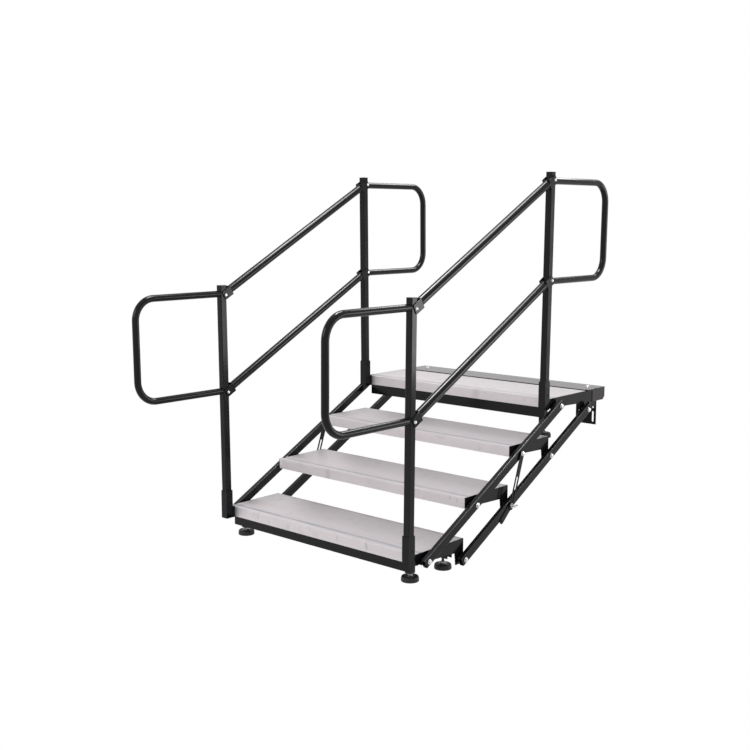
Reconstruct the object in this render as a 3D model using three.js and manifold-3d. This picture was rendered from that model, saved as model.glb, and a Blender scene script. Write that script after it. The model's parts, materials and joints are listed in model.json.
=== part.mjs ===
import * as THREE from "three";
import { mergeVertices } from "three/addons/utils/BufferGeometryUtils.js";
import Module from "manifold-3d";

// Driving sizes of the whole stair, millimetres and degrees
const HALF_WIDTH = 533.5;
const LINK_PITCH = 338.5;
const REST_ANGLE = 28.22;
const TREAD_SPACING = 9.265;
const BASE_TOP = 126;
const PLATFORM_LIFT = 2;
const STUD_LEVEL = 1;
const BRACE_LEVEL = 2;
const TOP_LEVEL = 3;
const GAP = 0.3;
const OVERLAP = 1;

const RADIANS = Math.PI / 180;
const GOING = LINK_PITCH * Math.cos(REST_ANGLE * RADIANS);
const RISE = LINK_PITCH * Math.sin(REST_ANGLE * RADIANS);
const TREAD_DEPTH = GOING - TREAD_SPACING;

// Roundness of turned and bent pieces
const ROUND_STEPS = 8;
const TUBE_STEPS = 14;
const PAD_STEPS = 16;
const HEAD_STEPS = 9;
const HEX_SIDES = 6;
const LOOP_BEND_STEPS = 5;
const LOOP_SIDES = 10;
const LOOP_BORE_SIDES = 6;
const MERGE_DISTANCE = 1e-4;

// Pivots of the links, from each tread's front edge and top
const FRONT_PIVOT_IN = 42;
const FRONT_PIVOT_DROP = 31.5;
const REAR_PIVOT_IN = 21;
const REAR_PIVOT_DROP = 77.5;
const FRONT_PIVOT = { y: FRONT_PIVOT_IN, z: -FRONT_PIVOT_DROP };
const REAR_PIVOT = { y: TREAD_DEPTH - REAR_PIVOT_IN, z: -REAR_PIVOT_DROP };

// Tread planks
const PLANK_SKIN = 3;
const FASCIA_TALL = 44;
const FASCIA_THICK = 2.5;
const FASCIA_LIP = 9;
const PLANK_REAR_TALL = 22;
const RIB_TALL = 28;
const RIB_THICK = 2.5;
const RIB_SHARES = [0.318, 0.519, 0.72];
const GROOVE_Y = 45;
const GROOVE_WIDE = 1.6;
const GROOVE_DEEP = 0.8;

// Side plates of the tread frames
const PLATE_THICK = 3;
const PLATE_OUT = HALF_WIDTH - GAP;
const PLATE_IN = PLATE_OUT - PLATE_THICK;
const PLATE_FRONT_TALL = 43;
const PLATE_REAR_TALL = 50;
const EAR_HALF = 18;
const EAR_SLOPE = 6;
const LUG_WIDE = 54;
const LUG_FOOT = 41;
const LUG_DROP = 22;
const LUG_CHAMFER = 7;

// Cross members under the planks
const CROSS_FRONT_Y = 10;
const CROSS_WIDE = 20;
const CROSS_REAR_IN = 39;
const CROSS_REAR_Y = TREAD_DEPTH - CROSS_REAR_IN;
const CROSS_BOTTOM = -46.5;
const MEMBER_TOP = -RIB_TALL - GAP;
const MEMBER_WALL = 2.5;
const BEARER_SHARES = [-0.6, 0, 0.6];
const BEARER_WIDE = 25;
const BEARER_BOTTOM = -40;

// Beams under the base and the platform
const BEAM_INSET = 30.5;
const BEAM_HALF = HALF_WIDTH - BEAM_INSET;
const BEAM_DEEP = 25;
const BEAM_TOP = -FASCIA_TALL - GAP;
const BASE_BEAM_BOTTOM = -79;
const PLATFORM_BEAM_BOTTOM = -88;
const REAR_BEAM_IN = 64;
const REAR_BEAM_Y = TREAD_DEPTH - REAR_BEAM_IN;
const REAR_BEAM_WIDE = 30;
const REAR_BEAM_BOTTOM = -78;

// Post sleeves and posts, which lean outwards a little
const POST_LEAN = 0.6;
const POST_SIZE = 29.5;
const POST_WALL = 2;
const POST_INSET = 15.5;
const POST_X = HALF_WIDTH - POST_INSET;
const POST_Y = -28.5;
const POST_SEAT = 40;
const POST_ABOVE_PIVOT = 37;
const CAP_THICK = 3;
const SLEEVE_SIZE = 34.5;
const SLEEVE_PLAY = 0.65;
const SLEEVE_BELOW = 46;
const SLEEVE_ABOVE = 76;
const LEAN_LEVEL = (SLEEVE_ABOVE - SLEEVE_BELOW) / 2;
const SLEEVE_PLATE_THICK = 3;
const SLEEVE_PLATE_TOP = 4;
const SCREW_HOLE_R = 3.2;
const SCREW_HOLE_UP = 17;

// Handrails and their clevises
const RAIL_PIVOT_UPPER = 927;
const RAIL_PIVOT_LOWER = 509.5;
const RAIL_PIVOT_BACK = 7;
const RAIL_R = 17.5;
const RAIL_WALL = 2.5;
const CLEVIS_DEEP = 40;
const CLEVIS_THICK = 3;
const CLEVIS_CLEARANCE = 0.6;
const CLEVIS_INNER = POST_SIZE + CLEVIS_CLEARANCE * 2;
const CLEVIS_REACH = 42;
const CLEVIS_TAIL = 10;

// Loops welded to the posts
const LOOP_R = 14.6;
const LOOP_WALL = 2;
const LOOP_REACH = 446;
const LOOP_BEND = 88;
const LOWER_LOOP_RISE = 4;
const UPPER_LOOP_RISE = -4;

// Links
const LINK_DEEP = 36;
const LINK_RAISE = 2;
const LINK_THICK = 20;
const LINK_WALL = 2;
const LINK_STANDOFF = 8.5;
const LINK_INNER_FACE = HALF_WIDTH + LINK_STANDOFF;
const LINK_OUTER_FACE = LINK_INNER_FACE + LINK_THICK;
const LINK_FOOT = 20;
const FRONT_LINK_HEAD = 19;
const REAR_LINK_HEAD = 30;
const LINK_CUT_DROP = 25;
const LINK_CUT_DEEP = 76;

// Link bolts with their spacers
const BOLT_R = 4.8;
const HOLE_R = 5.3;
const SPACER_R = 9;
const WASHER_R = 10.5;
const WASHER_THICK = 1.5;
const HEAD_FLATS = 16;
const HEAD_TALL = 6;
const NUT_TALL = 7;

// Handrail bolts
const RAIL_BOLT_R = 3.9;
const RAIL_HOLE_R = 4.3;
const RAIL_HEAD_R = 7;
const RAIL_HEAD_TALL = 5;

// Braces with their wing nuts
const BRACE_WIDE = 25;
const BRACE_THICK = 3;
const BRACE_SLOT_START = 96;
const BRACE_SLOT_END = 226;
const BRACE_LENGTH = 238;
const BRACE_BOSS_R = 9;
const TAIL_WIDE = 24;
const TAIL_THICK = 3;
const TAIL_BACK = 62.5;
const TAIL_FALL = 54;
const TAIL_END = { y: -TAIL_BACK, z: -TAIL_FALL };
const TAIL_IN = LINK_OUTER_FACE + GAP;
const TAIL_OUT = TAIL_IN + TAIL_THICK;
const BRACE_IN = TAIL_OUT + GAP;
const BRACE_OUT = BRACE_IN + BRACE_THICK;
const NUT_HUB_R = 9;
const NUT_HUB_TALL = 13;
const WING_SPAN = 56;
const WING_TALL = 13;
const WING_THICK = 3.5;
const WING_FLARE = 9;
const STUD_TIP = 8;

// Levelling feet
const FOOT_INSET = 63.5;
const FOOT_X = HALF_WIDTH - FOOT_INSET;
const FOOT_FRONT_Y = 38;
const FOOT_REAR_IN = 49;
const FOOT_REAR_Y = TREAD_DEPTH - FOOT_REAR_IN;
const LEG_SIZE = 28;
const LEG_WALL = 2.5;
const LEG_BOTTOM = -94;
const PAD_R = 36;
const PAD_TOP_R = 33;
const PAD_TALL = 21;
const PAD_BEVEL = 2;
const STEM_R = 6;
const STEM_HOLE_R = 6.3;
const FOOT_WASHER_R = 17;
const FOOT_WASHER_THICK = 2.5;
const FOOT_NUT_FLATS = 19;
const FOOT_NUT_TALL = 7.8;
const STEM_ABOVE_NUT = 42;
const PLATFORM_LEG_BOTTOM = -136;
const PLATFORM_FOOT_Y = 42;
const PLATFORM_FOOT_DROP = 182;

// Hook bar and stage brackets, from the rear edge of the platform's tread
const ARM_REACH = 88;
const ARM_CLEARANCE = 8;
const BRACKET_SPACE = ARM_REACH + ARM_CLEARANCE;
const HOOK_BOLT_IN = 14;
const HOOK_BOLT_SPACE = BRACKET_SPACE + HOOK_BOLT_IN;
const MOUNT_IN = 30;
const MOUNT_SPACE = BRACKET_SPACE + MOUNT_IN;
const HOOK_BEHIND_BRACKET = 65;
const HOOK_REACH = BRACKET_SPACE + HOOK_BEHIND_BRACKET;
const HOOK_SPACE = 6.3;
const WEB_SPACE = 55.3;
const NOTCH_SPACE = 72;
const HOOK_FRONT = TREAD_DEPTH + HOOK_SPACE;
const HOOK_WEB = TREAD_DEPTH + WEB_SPACE;
const HOOK_NOTCH_Y = TREAD_DEPTH + NOTCH_SPACE;
const HOOK_MOUNT_Y = TREAD_DEPTH + MOUNT_SPACE;
const HOOK_REAR = TREAD_DEPTH + HOOK_REACH;
const HOOK_PROUD = 2;
const HOOK_THICK = 5;
const HOOK_WALL = 3;
const HOOK_TALL = 58;
const HOOK_CORNER = 14;
const HOOK_NOTCH_WIDE = 14;
const HOOK_NOTCH_DEEP = 5;
const SUPPORT_SPACE = 8.3;
const SUPPORT_Y = TREAD_DEPTH + SUPPORT_SPACE;
const SUPPORT_WIDE = 40;
const SUPPORT_TALL = 40;
const ARM_INSET = 35.5;
const ARM_IN = HALF_WIDTH - ARM_INSET;
const ARM_START = TREAD_DEPTH + OVERLAP;
const ARM_END = TREAD_DEPTH + ARM_REACH;
const ARM_TALL = 23;
const BRACKET_FACE_Y = TREAD_DEPTH + BRACKET_SPACE;
const BRACKET_THICK = 4;
const BRACKET_INSET = 4.5;
const BRACKET_WIDE = 105;
const BRACKET_OUT = HALF_WIDTH - BRACKET_INSET;
const BRACKET_IN = BRACKET_OUT - BRACKET_WIDE;
const BRACKET_BOTTOM = -168;
const BRACKET_FLANGE = 26;
const BRACKET_SLOT_INSET = 16;
const BRACKET_SLOT_X = BRACKET_OUT - BRACKET_SLOT_INSET;
const BRACKET_SLOT_WIDE = 10;
const BRACKET_SLOT_LOW = -157;
const BRACKET_SLOT_HIGH = -107;
const BRACKET_HOLE_Z = -89;
const BRACKET_HOLE_R = 4.5;
const BRACKET_SMALL_INSET = 17;
const BRACKET_SMALL_X = BRACKET_IN + BRACKET_SMALL_INSET;
const BRACKET_SMALL_Z = [-87, -110];
const BRACKET_SMALL_R = 3.2;
const HOOK_BOLT_INSET = 58.5;
const HOOK_BOLT_X = HALF_WIDTH - HOOK_BOLT_INSET;
const HOOK_BOLT_Y = TREAD_DEPTH + HOOK_BOLT_SPACE;
const HOOK_HEAD_R = 11;
const HOOK_HEAD_TALL = 4.5;
const HOOK_CROWN_R = 6;

// Solid modelling helpers
const wasm = await Module();
wasm.setup();

function solid(geometry) {
  const bare = geometry.clone();
  bare.deleteAttribute("normal");
  bare.deleteAttribute("uv");
  const merged = mergeVertices(bare, MERGE_DISTANCE);
  const vertProperties = new Float32Array(merged.attributes.position.array);
  const triVerts = new Uint32Array(merged.index.array);
  const mesh = new wasm.Mesh({ numProp: 3, vertProperties, triVerts });
  return new wasm.Manifold(mesh);
}

function join(...pieces) {
  return wasm.Manifold.union(pieces.flat());
}

function block(x0, x1, y0, y1, z0, z1) {
  const geometry = new THREE.BoxGeometry(x1 - x0, y1 - y0, z1 - z0);
  geometry.translate((x0 + x1) / 2, (y0 + y1) / 2, (z0 + z1) / 2);
  return solid(geometry);
}

// Outline given in y and z, drawn out along x
function slab(outline, x0, x1) {
  const shape = new THREE.Shape(outline.map(([y, z]) => new THREE.Vector2(y, z)));
  const geometry = new THREE.ExtrudeGeometry(shape, { depth: x1 - x0, bevelEnabled: false });
  const axes = new THREE.Matrix4().makeBasis(
    new THREE.Vector3(0, 1, 0), new THREE.Vector3(0, 0, 1), new THREE.Vector3(1, 0, 0));
  geometry.applyMatrix4(axes);
  geometry.translate(x0, 0, 0);
  return solid(geometry);
}

function rodAlongX(y, z, radius, x0, x1, steps = ROUND_STEPS) {
  const geometry = new THREE.CylinderGeometry(radius, radius, x1 - x0, steps);
  geometry.rotateZ(-Math.PI / 2);
  geometry.translate((x0 + x1) / 2, y, z);
  return solid(geometry);
}

function rodAlongY(x, z, radius, y0, y1, steps = ROUND_STEPS) {
  const geometry = new THREE.CylinderGeometry(radius, radius, y1 - y0, steps);
  geometry.translate(x, (y0 + y1) / 2, z);
  return solid(geometry);
}

function rodAlongZ(x, y, lowRadius, highRadius, z0, z1, steps = ROUND_STEPS) {
  const geometry = new THREE.CylinderGeometry(highRadius, lowRadius, z1 - z0, steps);
  geometry.rotateX(Math.PI / 2);
  geometry.translate(x, y, (z0 + z1) / 2);
  return solid(geometry);
}

function hexRadius(acrossFlats) {
  return acrossFlats / 2 / Math.cos(Math.PI / HEX_SIDES);
}

// Position of a tread's front edge and top at a level
function levelOf(index) {
  const lift = index === TOP_LEVEL ? PLATFORM_LIFT : 0;
  return { y: index * GOING, z: BASE_TOP + index * RISE + lift };
}

function atLevel(piece, index) {
  const level = levelOf(index);
  return piece.translate([0, level.y, level.z]);
}

// Pivot heights fall below the lifted platform by the same amount
function pivotAt(pivot, index) {
  return { y: pivot.y + index * GOING, z: pivot.z + BASE_TOP + index * RISE };
}

function mirrored(piece, side) {
  return side < 0 ? piece.mirror([1, 0, 0]) : piece;
}

// Extruded aluminium tread
function treadPlank() {
  const half = PLATE_IN - GAP;
  const outline = [
    [0, 0],
    [0, -FASCIA_TALL],
    [FASCIA_LIP, -FASCIA_TALL],
    [FASCIA_LIP, -FASCIA_TALL + FASCIA_THICK],
    [FASCIA_THICK, -FASCIA_TALL + FASCIA_THICK],
    [FASCIA_THICK, -PLANK_SKIN],
  ];
  for (const share of RIB_SHARES) {
    const ribY = TREAD_DEPTH * share;
    outline.push([ribY, -PLANK_SKIN]);
    outline.push([ribY, -RIB_TALL]);
    outline.push([ribY + RIB_THICK, -RIB_TALL]);
    outline.push([ribY + RIB_THICK, -PLANK_SKIN]);
  }
  outline.push([TREAD_DEPTH - RIB_THICK, -PLANK_SKIN]);
  outline.push([TREAD_DEPTH - RIB_THICK, -PLANK_REAR_TALL]);
  outline.push([TREAD_DEPTH, -PLANK_REAR_TALL]);
  outline.push([TREAD_DEPTH, 0]);
  outline.push([GROOVE_Y + GROOVE_WIDE, 0]);
  outline.push([GROOVE_Y + GROOVE_WIDE, -GROOVE_DEEP]);
  outline.push([GROOVE_Y, -GROOVE_DEEP]);
  outline.push([GROOVE_Y, 0]);
  return slab(outline, -half, half);
}

// One side plate with the ears of both link pivots
function sidePlate(drop) {
  const earBottom = FRONT_PIVOT.z - drop - EAR_HALF;
  const lugBottom = REAR_PIVOT.z - drop - LUG_DROP;
  const lugFront = TREAD_DEPTH - LUG_WIDE;
  const earFront = FRONT_PIVOT.y - EAR_HALF;
  const earRear = FRONT_PIVOT.y + EAR_HALF;
  const outline = [
    [0, 0],
    [0, -PLATE_FRONT_TALL],
    [earFront - EAR_SLOPE, -PLATE_FRONT_TALL],
    [earFront + EAR_SLOPE, earBottom],
    [earRear - EAR_SLOPE, earBottom],
    [earRear + EAR_SLOPE, -PLATE_FRONT_TALL],
    [lugFront, -PLATE_REAR_TALL],
    [TREAD_DEPTH - LUG_FOOT - LUG_CHAMFER, lugBottom],
    [TREAD_DEPTH - LUG_CHAMFER, lugBottom],
    [TREAD_DEPTH, lugBottom + LUG_CHAMFER],
    [TREAD_DEPTH, 0],
  ];
  const plate = slab(outline, PLATE_IN, PLATE_OUT);
  const holes = join(
    rodAlongX(FRONT_PIVOT.y, FRONT_PIVOT.z - drop, HOLE_R, PLATE_IN - OVERLAP, PLATE_OUT + OVERLAP),
    rodAlongX(REAR_PIVOT.y, REAR_PIVOT.z - drop, HOLE_R, PLATE_IN - OVERLAP, PLATE_OUT + OVERLAP));
  return plate.subtract(holes);
}

// Channel along x, open underneath
function crossChannel(y0, wide, bottom, top, half) {
  const outer = block(-half, half, y0, y0 + wide, bottom, top);
  const inner = block(-half - OVERLAP, half + OVERLAP, y0 + MEMBER_WALL, y0 + wide - MEMBER_WALL,
    bottom - OVERLAP, top - MEMBER_WALL);
  return outer.subtract(inner);
}

function bearer(share) {
  const middle = HALF_WIDTH * share;
  const half = BEARER_WIDE / 2;
  return block(middle - half, middle + half, CROSS_FRONT_Y + CROSS_WIDE - MEMBER_WALL,
    CROSS_REAR_Y + MEMBER_WALL, BEARER_BOTTOM, MEMBER_TOP);
}

function treadFrame(drop) {
  const half = PLATE_IN + OVERLAP;
  const right = sidePlate(drop);
  return join(
    right,
    right.mirror([1, 0, 0]),
    crossChannel(CROSS_FRONT_Y, CROSS_WIDE, CROSS_BOTTOM, MEMBER_TOP, half),
    crossChannel(CROSS_REAR_Y, CROSS_WIDE, CROSS_BOTTOM, MEMBER_TOP, half),
    BEARER_SHARES.map(bearer));
}

// Front beam under the fascia, a channel open to the rear with closed ends
function frontBeam(bottom) {
  const outer = block(-BEAM_HALF, BEAM_HALF, 0, BEAM_DEEP, bottom, BEAM_TOP);
  const inner = block(-BEAM_HALF + MEMBER_WALL, BEAM_HALF - MEMBER_WALL, MEMBER_WALL,
    BEAM_DEEP + OVERLAP, bottom + MEMBER_WALL, BEAM_TOP - MEMBER_WALL);
  return outer.subtract(inner);
}

// Sleeve that takes a post, with its plate and the tab of the side plate
function postSleeve() {
  const outer = SLEEVE_SIZE / 2;
  const bore = POST_SIZE / 2 + SLEEVE_PLAY + GAP;
  const inboard = POST_X - outer;
  const plateEnd = inboard + SLEEVE_PLATE_THICK;
  const rear = POST_Y + outer;
  const body = block(inboard, POST_X + outer, POST_Y - outer, rear, -SLEEVE_BELOW, SLEEVE_ABOVE);
  const plate = block(inboard, plateEnd, rear - OVERLAP, -GAP, -SLEEVE_BELOW, SLEEVE_PLATE_TOP);
  const foot = block(inboard, plateEnd, rear - OVERLAP, OVERLAP, -SLEEVE_BELOW, BEAM_TOP);
  const tab = block(PLATE_IN, PLATE_OUT, rear, OVERLAP, -PLATE_FRONT_TALL, 0);
  const hollow = block(POST_X - bore, POST_X + bore, POST_Y - bore, POST_Y + bore,
    -SLEEVE_BELOW - OVERLAP, SLEEVE_ABOVE + OVERLAP);
  const screwHole = rodAlongX(POST_Y, SCREW_HOLE_UP, SCREW_HOLE_R, POST_X + bore - OVERLAP,
    POST_X + outer + OVERLAP);
  return join(body, plate, foot, tab).subtract(join(hollow, screwHole));
}

// Hollow square leg with a closed foot that takes a stem
function squareLeg(y, bottom) {
  const half = LEG_SIZE / 2;
  const inner = half - LEG_WALL;
  const top = BEARER_BOTTOM;
  const body = block(FOOT_X - half, FOOT_X + half, y - half, y + half, bottom, top);
  const hollow = block(FOOT_X - inner, FOOT_X + inner, y - inner, y + inner, bottom + LEG_WALL,
    top + OVERLAP);
  const hole = rodAlongZ(FOOT_X, y, STEM_HOLE_R, STEM_HOLE_R, bottom - OVERLAP, bottom + half);
  return { body, cut: join(hollow, hole) };
}

function baseFrame() {
  const leg = squareLeg(FOOT_FRONT_Y, LEG_BOTTOM);
  const sleeve = postSleeve();
  const rearBeam = crossChannel(REAR_BEAM_Y, REAR_BEAM_WIDE, REAR_BEAM_BOTTOM,
    CROSS_BOTTOM + OVERLAP, BEAM_HALF);
  const stemHole = rodAlongZ(FOOT_X, FOOT_REAR_Y, STEM_HOLE_R, STEM_HOLE_R,
    REAR_BEAM_BOTTOM - OVERLAP, CROSS_BOTTOM + LEG_SIZE);
  const footPlate = block(FOOT_X - LEG_SIZE / 2, FOOT_X + LEG_SIZE / 2, REAR_BEAM_Y,
    REAR_BEAM_Y + REAR_BEAM_WIDE, REAR_BEAM_BOTTOM, REAR_BEAM_BOTTOM + LEG_WALL);
  const right = join(leg.body, footPlate, sleeve);
  const cuts = join(leg.cut, stemHole);
  const beam = frontBeam(BASE_BEAM_BOTTOM);
  const body = join(treadFrame(0), beam, rearBeam, right, right.mirror([1, 0, 0]));
  return body.subtract(join(cuts, cuts.mirror([1, 0, 0])));
}

function platformArm() {
  const top = HOOK_PROUD - HOOK_TALL - GAP;
  return block(ARM_IN, PLATE_IN + OVERLAP, ARM_START, ARM_END, top - ARM_TALL, top);
}

function platformFrame() {
  const leg = squareLeg(PLATFORM_FOOT_Y, PLATFORM_LEG_BOTTOM);
  const sleeve = postSleeve();
  const supportTop = HOOK_PROUD - HOOK_THICK - GAP;
  const support = crossChannel(SUPPORT_Y, SUPPORT_WIDE, supportTop - SUPPORT_TALL, supportTop,
    PLATE_IN + OVERLAP);
  const wing = slab([
    [TREAD_DEPTH - OVERLAP, supportTop],
    [TREAD_DEPTH - OVERLAP, platformWingBottom()],
    [SUPPORT_Y + SUPPORT_WIDE, platformWingBottom()],
    [SUPPORT_Y + SUPPORT_WIDE, supportTop],
  ], PLATE_IN, PLATE_OUT);
  const right = join(sleeve, wing, platformArm());
  const beam = frontBeam(PLATFORM_BEAM_BOTTOM);
  const body = join(treadFrame(PLATFORM_LIFT), beam, support, leg.body, right,
    right.mirror([1, 0, 0]));
  return body.subtract(leg.cut);
}

function platformWingBottom() {
  return HOOK_PROUD - HOOK_TALL - ARM_TALL;
}

// Bar that hooks on the stage, a plate with a front web and closed ends
function hookBar() {
  const top = HOOK_PROUD;
  const under = top - HOOK_THICK;
  const bottom = top - HOOK_TALL;
  const corner = HOOK_CORNER;
  const plate = block(-HALF_WIDTH, HALF_WIDTH, HOOK_FRONT, HOOK_REAR, under, top);
  const clip = slab([
    [HOOK_FRONT - OVERLAP, under - OVERLAP],
    [HOOK_FRONT + corner, under - OVERLAP],
    [HOOK_FRONT + corner, top + OVERLAP],
    [HOOK_FRONT - OVERLAP, top + OVERLAP],
  ], HALF_WIDTH - corner, HALF_WIDTH + OVERLAP);
  const web = block(-HALF_WIDTH, HALF_WIDTH, HOOK_WEB, HOOK_WEB + HOOK_WALL, bottom, top);
  const end = slab([
    [HOOK_WEB, top],
    [HOOK_WEB, bottom],
    [HOOK_REAR - corner, bottom],
    [HOOK_REAR, bottom + corner],
    [HOOK_REAR, top],
    [HOOK_NOTCH_Y + HOOK_NOTCH_WIDE, top],
    [HOOK_NOTCH_Y + HOOK_NOTCH_WIDE, top - HOOK_NOTCH_DEEP],
    [HOOK_NOTCH_Y, top - HOOK_NOTCH_DEEP],
    [HOOK_NOTCH_Y, top],
  ], HALF_WIDTH - HOOK_WALL, HALF_WIDTH);
  const notch = block(HALF_WIDTH - HOOK_WALL, HALF_WIDTH + OVERLAP, HOOK_NOTCH_Y,
    HOOK_NOTCH_Y + HOOK_NOTCH_WIDE, top - HOOK_NOTCH_DEEP, top + OVERLAP);
  const body = join(plate, web, end, end.mirror([1, 0, 0]));
  const holes = [-1, 1].map((side) => rodAlongZ(side * HOOK_BOLT_X, HOOK_BOLT_Y, HOLE_R, HOLE_R,
    under - OVERLAP, top + OVERLAP));
  return body.subtract(join(clip, clip.mirror([1, 0, 0]), notch, notch.mirror([1, 0, 0]), holes));
}

// Slotted angle bracket under the hook bar
function stageBracket() {
  const top = HOOK_PROUD - HOOK_THICK - GAP;
  const rear = BRACKET_FACE_Y + BRACKET_THICK;
  const reach = BRACKET_FACE_Y + BRACKET_FLANGE;
  const face = block(BRACKET_IN, BRACKET_OUT, BRACKET_FACE_Y, rear, BRACKET_BOTTOM, top);
  const flange = block(BRACKET_IN, BRACKET_OUT, BRACKET_FACE_Y, reach, top - BRACKET_THICK, top);
  const slotR = BRACKET_SLOT_WIDE / 2;
  const through = [BRACKET_FACE_Y - OVERLAP, rear + OVERLAP];
  const slot = join(
    rodAlongY(BRACKET_SLOT_X, BRACKET_SLOT_LOW + slotR, slotR, ...through),
    rodAlongY(BRACKET_SLOT_X, BRACKET_SLOT_HIGH - slotR, slotR, ...through),
    block(BRACKET_SLOT_X - slotR, BRACKET_SLOT_X + slotR, ...through,
      BRACKET_SLOT_LOW + slotR, BRACKET_SLOT_HIGH - slotR));
  const hole = rodAlongY(BRACKET_SLOT_X, BRACKET_HOLE_Z, BRACKET_HOLE_R, ...through);
  const small = BRACKET_SMALL_Z.map((z) => rodAlongY(BRACKET_SMALL_X, z, BRACKET_SMALL_R, ...through));
  const boltHole = rodAlongZ(HOOK_BOLT_X, HOOK_BOLT_Y, HOLE_R, HOLE_R,
    top - BRACKET_THICK - OVERLAP, top + OVERLAP);
  return join(face, flange).subtract(join(slot, hole, small, boltHole));
}

// Button-headed bolt through the hook bar and a bracket
function hookBolt() {
  const seat = HOOK_PROUD + GAP;
  const under = HOOK_PROUD - HOOK_THICK - GAP - BRACKET_THICK - GAP;
  const head = rodAlongZ(HOOK_BOLT_X, HOOK_BOLT_Y, HOOK_HEAD_R, HOOK_CROWN_R, seat,
    seat + HOOK_HEAD_TALL);
  const shank = rodAlongZ(HOOK_BOLT_X, HOOK_BOLT_Y, BOLT_R, BOLT_R, under - NUT_TALL - OVERLAP,
    seat + OVERLAP);
  const nut = rodAlongZ(HOOK_BOLT_X, HOOK_BOLT_Y, hexRadius(HEAD_FLATS), hexRadius(HEAD_FLATS),
    under - NUT_TALL, under, HEX_SIDES);
  return join(head, shank, nut);
}

// Path of straight runs and arcs, walked point by point
class PointPath extends THREE.Curve {
  constructor(points) {
    super();
    this.points = points;
  }

  getPoint(share, target = new THREE.Vector3()) {
    const last = this.points.length - 1;
    const index = Math.min(last, Math.round(share * last));
    return target.copy(this.points[index]);
  }

  getPointAt(share, target) {
    return this.getPoint(share, target);
  }

  getTangentAt(share, target = new THREE.Vector3()) {
    const last = this.points.length - 1;
    const index = Math.min(last, Math.round(share * last));
    const before = this.points[Math.max(0, index - 1)];
    const after = this.points[Math.min(last, index + 1)];
    return target.copy(after).sub(before).normalize();
  }
}

function loopPoints(start, rise) {
  const low = RAIL_PIVOT_LOWER + rise;
  const high = RAIL_PIVOT_UPPER + rise;
  const bendY = LOOP_REACH - LOOP_BEND;
  const points = [new THREE.Vector3(0, start, high)];
  for (let step = 0; step <= LOOP_BEND_STEPS; step += 1) {
    const angle = (step / LOOP_BEND_STEPS) * (Math.PI / 2);
    points.push(new THREE.Vector3(0, bendY + LOOP_BEND * Math.sin(angle),
      high - LOOP_BEND + LOOP_BEND * Math.cos(angle)));
  }
  for (let step = 0; step <= LOOP_BEND_STEPS; step += 1) {
    const angle = (step / LOOP_BEND_STEPS) * (Math.PI / 2);
    points.push(new THREE.Vector3(0, bendY + LOOP_BEND * Math.cos(angle),
      low + LOOP_BEND - LOOP_BEND * Math.sin(angle)));
  }
  points.push(new THREE.Vector3(0, start, low));
  return points;
}

function loopTube(radius, start, sides, rise) {
  const shape = new THREE.Shape();
  for (let step = 0; step < sides; step += 1) {
    const angle = (step / sides) * 2 * Math.PI;
    const method = step === 0 ? "moveTo" : "lineTo";
    shape[method](radius * Math.cos(angle), radius * Math.sin(angle));
  }
  shape.closePath();
  const points = loopPoints(start, rise);
  const geometry = new THREE.ExtrudeGeometry(shape, {
    steps: points.length - 1,
    extrudePath: new PointPath(points),
    bevelEnabled: false,
  });
  return solid(geometry);
}

// How far a post has leant outwards at a height above the tread
function leanAt(height) {
  return Math.tan(POST_LEAN * RADIANS) * (height - LEAN_LEVEL);
}

// Post with its welded loop, heading plus for a loop to the rear
function postWithLoop(heading) {
  const half = POST_SIZE / 2;
  const inner = half - POST_WALL;
  const rise = heading < 0 ? LOWER_LOOP_RISE : UPPER_LOOP_RISE;
  const top = RAIL_PIVOT_UPPER + rise + POST_ABOVE_PIVOT;
  const body = block(-half, half, -half, half, -POST_SEAT, top);
  const hollow = block(-inner, inner, -inner, inner, -POST_SEAT - OVERLAP, top - CAP_THICK);
  let loop = loopTube(LOOP_R, half - OVERLAP, LOOP_SIDES, rise);
  let bore = loopTube(LOOP_R - LOOP_WALL, inner - OVERLAP, LOOP_BORE_SIDES, rise);
  if (heading < 0) {
    loop = loop.mirror([0, 1, 0]);
    bore = bore.mirror([0, 1, 0]);
  }
  const upright = join(body, loop).subtract(join(hollow, bore));
  const leant = upright.translate([0, 0, -LEAN_LEVEL]).rotate([0, POST_LEAN, 0])
    .translate([0, 0, LEAN_LEVEL]);
  const holes = [RAIL_PIVOT_UPPER, RAIL_PIVOT_LOWER].map((height) => rodAlongX(RAIL_PIVOT_BACK,
    height, RAIL_HOLE_R, leanAt(height) - POST_SIZE, leanAt(height) + POST_SIZE));
  return leant.subtract(join(holes)).translate([POST_X, POST_Y, 0]);
}

// Rectangular tube with four pivot holes, lying along y from its lowest pivot
function linkTube(head) {
  const length = TOP_LEVEL * LINK_PITCH;
  const half = LINK_DEEP / 2;
  const inner = half - LINK_WALL;
  const body = block(LINK_INNER_FACE, LINK_OUTER_FACE, -LINK_FOOT, length + head,
    LINK_RAISE - half, LINK_RAISE + half);
  const hollow = block(LINK_INNER_FACE + LINK_WALL, LINK_OUTER_FACE - LINK_WALL,
    -LINK_FOOT - OVERLAP, length + head + OVERLAP, LINK_RAISE - inner, LINK_RAISE + inner);
  const holes = [];
  for (let index = 0; index <= TOP_LEVEL; index += 1) {
    holes.push(rodAlongX(index * LINK_PITCH, 0, HOLE_R, LINK_INNER_FACE - OVERLAP,
      LINK_OUTER_FACE + OVERLAP));
  }
  const tilted = body.subtract(join(hollow, holes)).rotate([REST_ANGLE, 0, 0]);
  const below = block(LINK_INNER_FACE - OVERLAP, LINK_OUTER_FACE + OVERLAP, -LINK_CUT_DEEP, LINK_CUT_DEEP,
    -LINK_CUT_DEEP, -LINK_CUT_DROP);
  return tilted.subtract(below);
}

function linkAt(pivot, head, side) {
  const foot = pivotAt(pivot, 0);
  return mirrored(linkTube(head).translate([0, foot.y, foot.z]), side);
}

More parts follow.
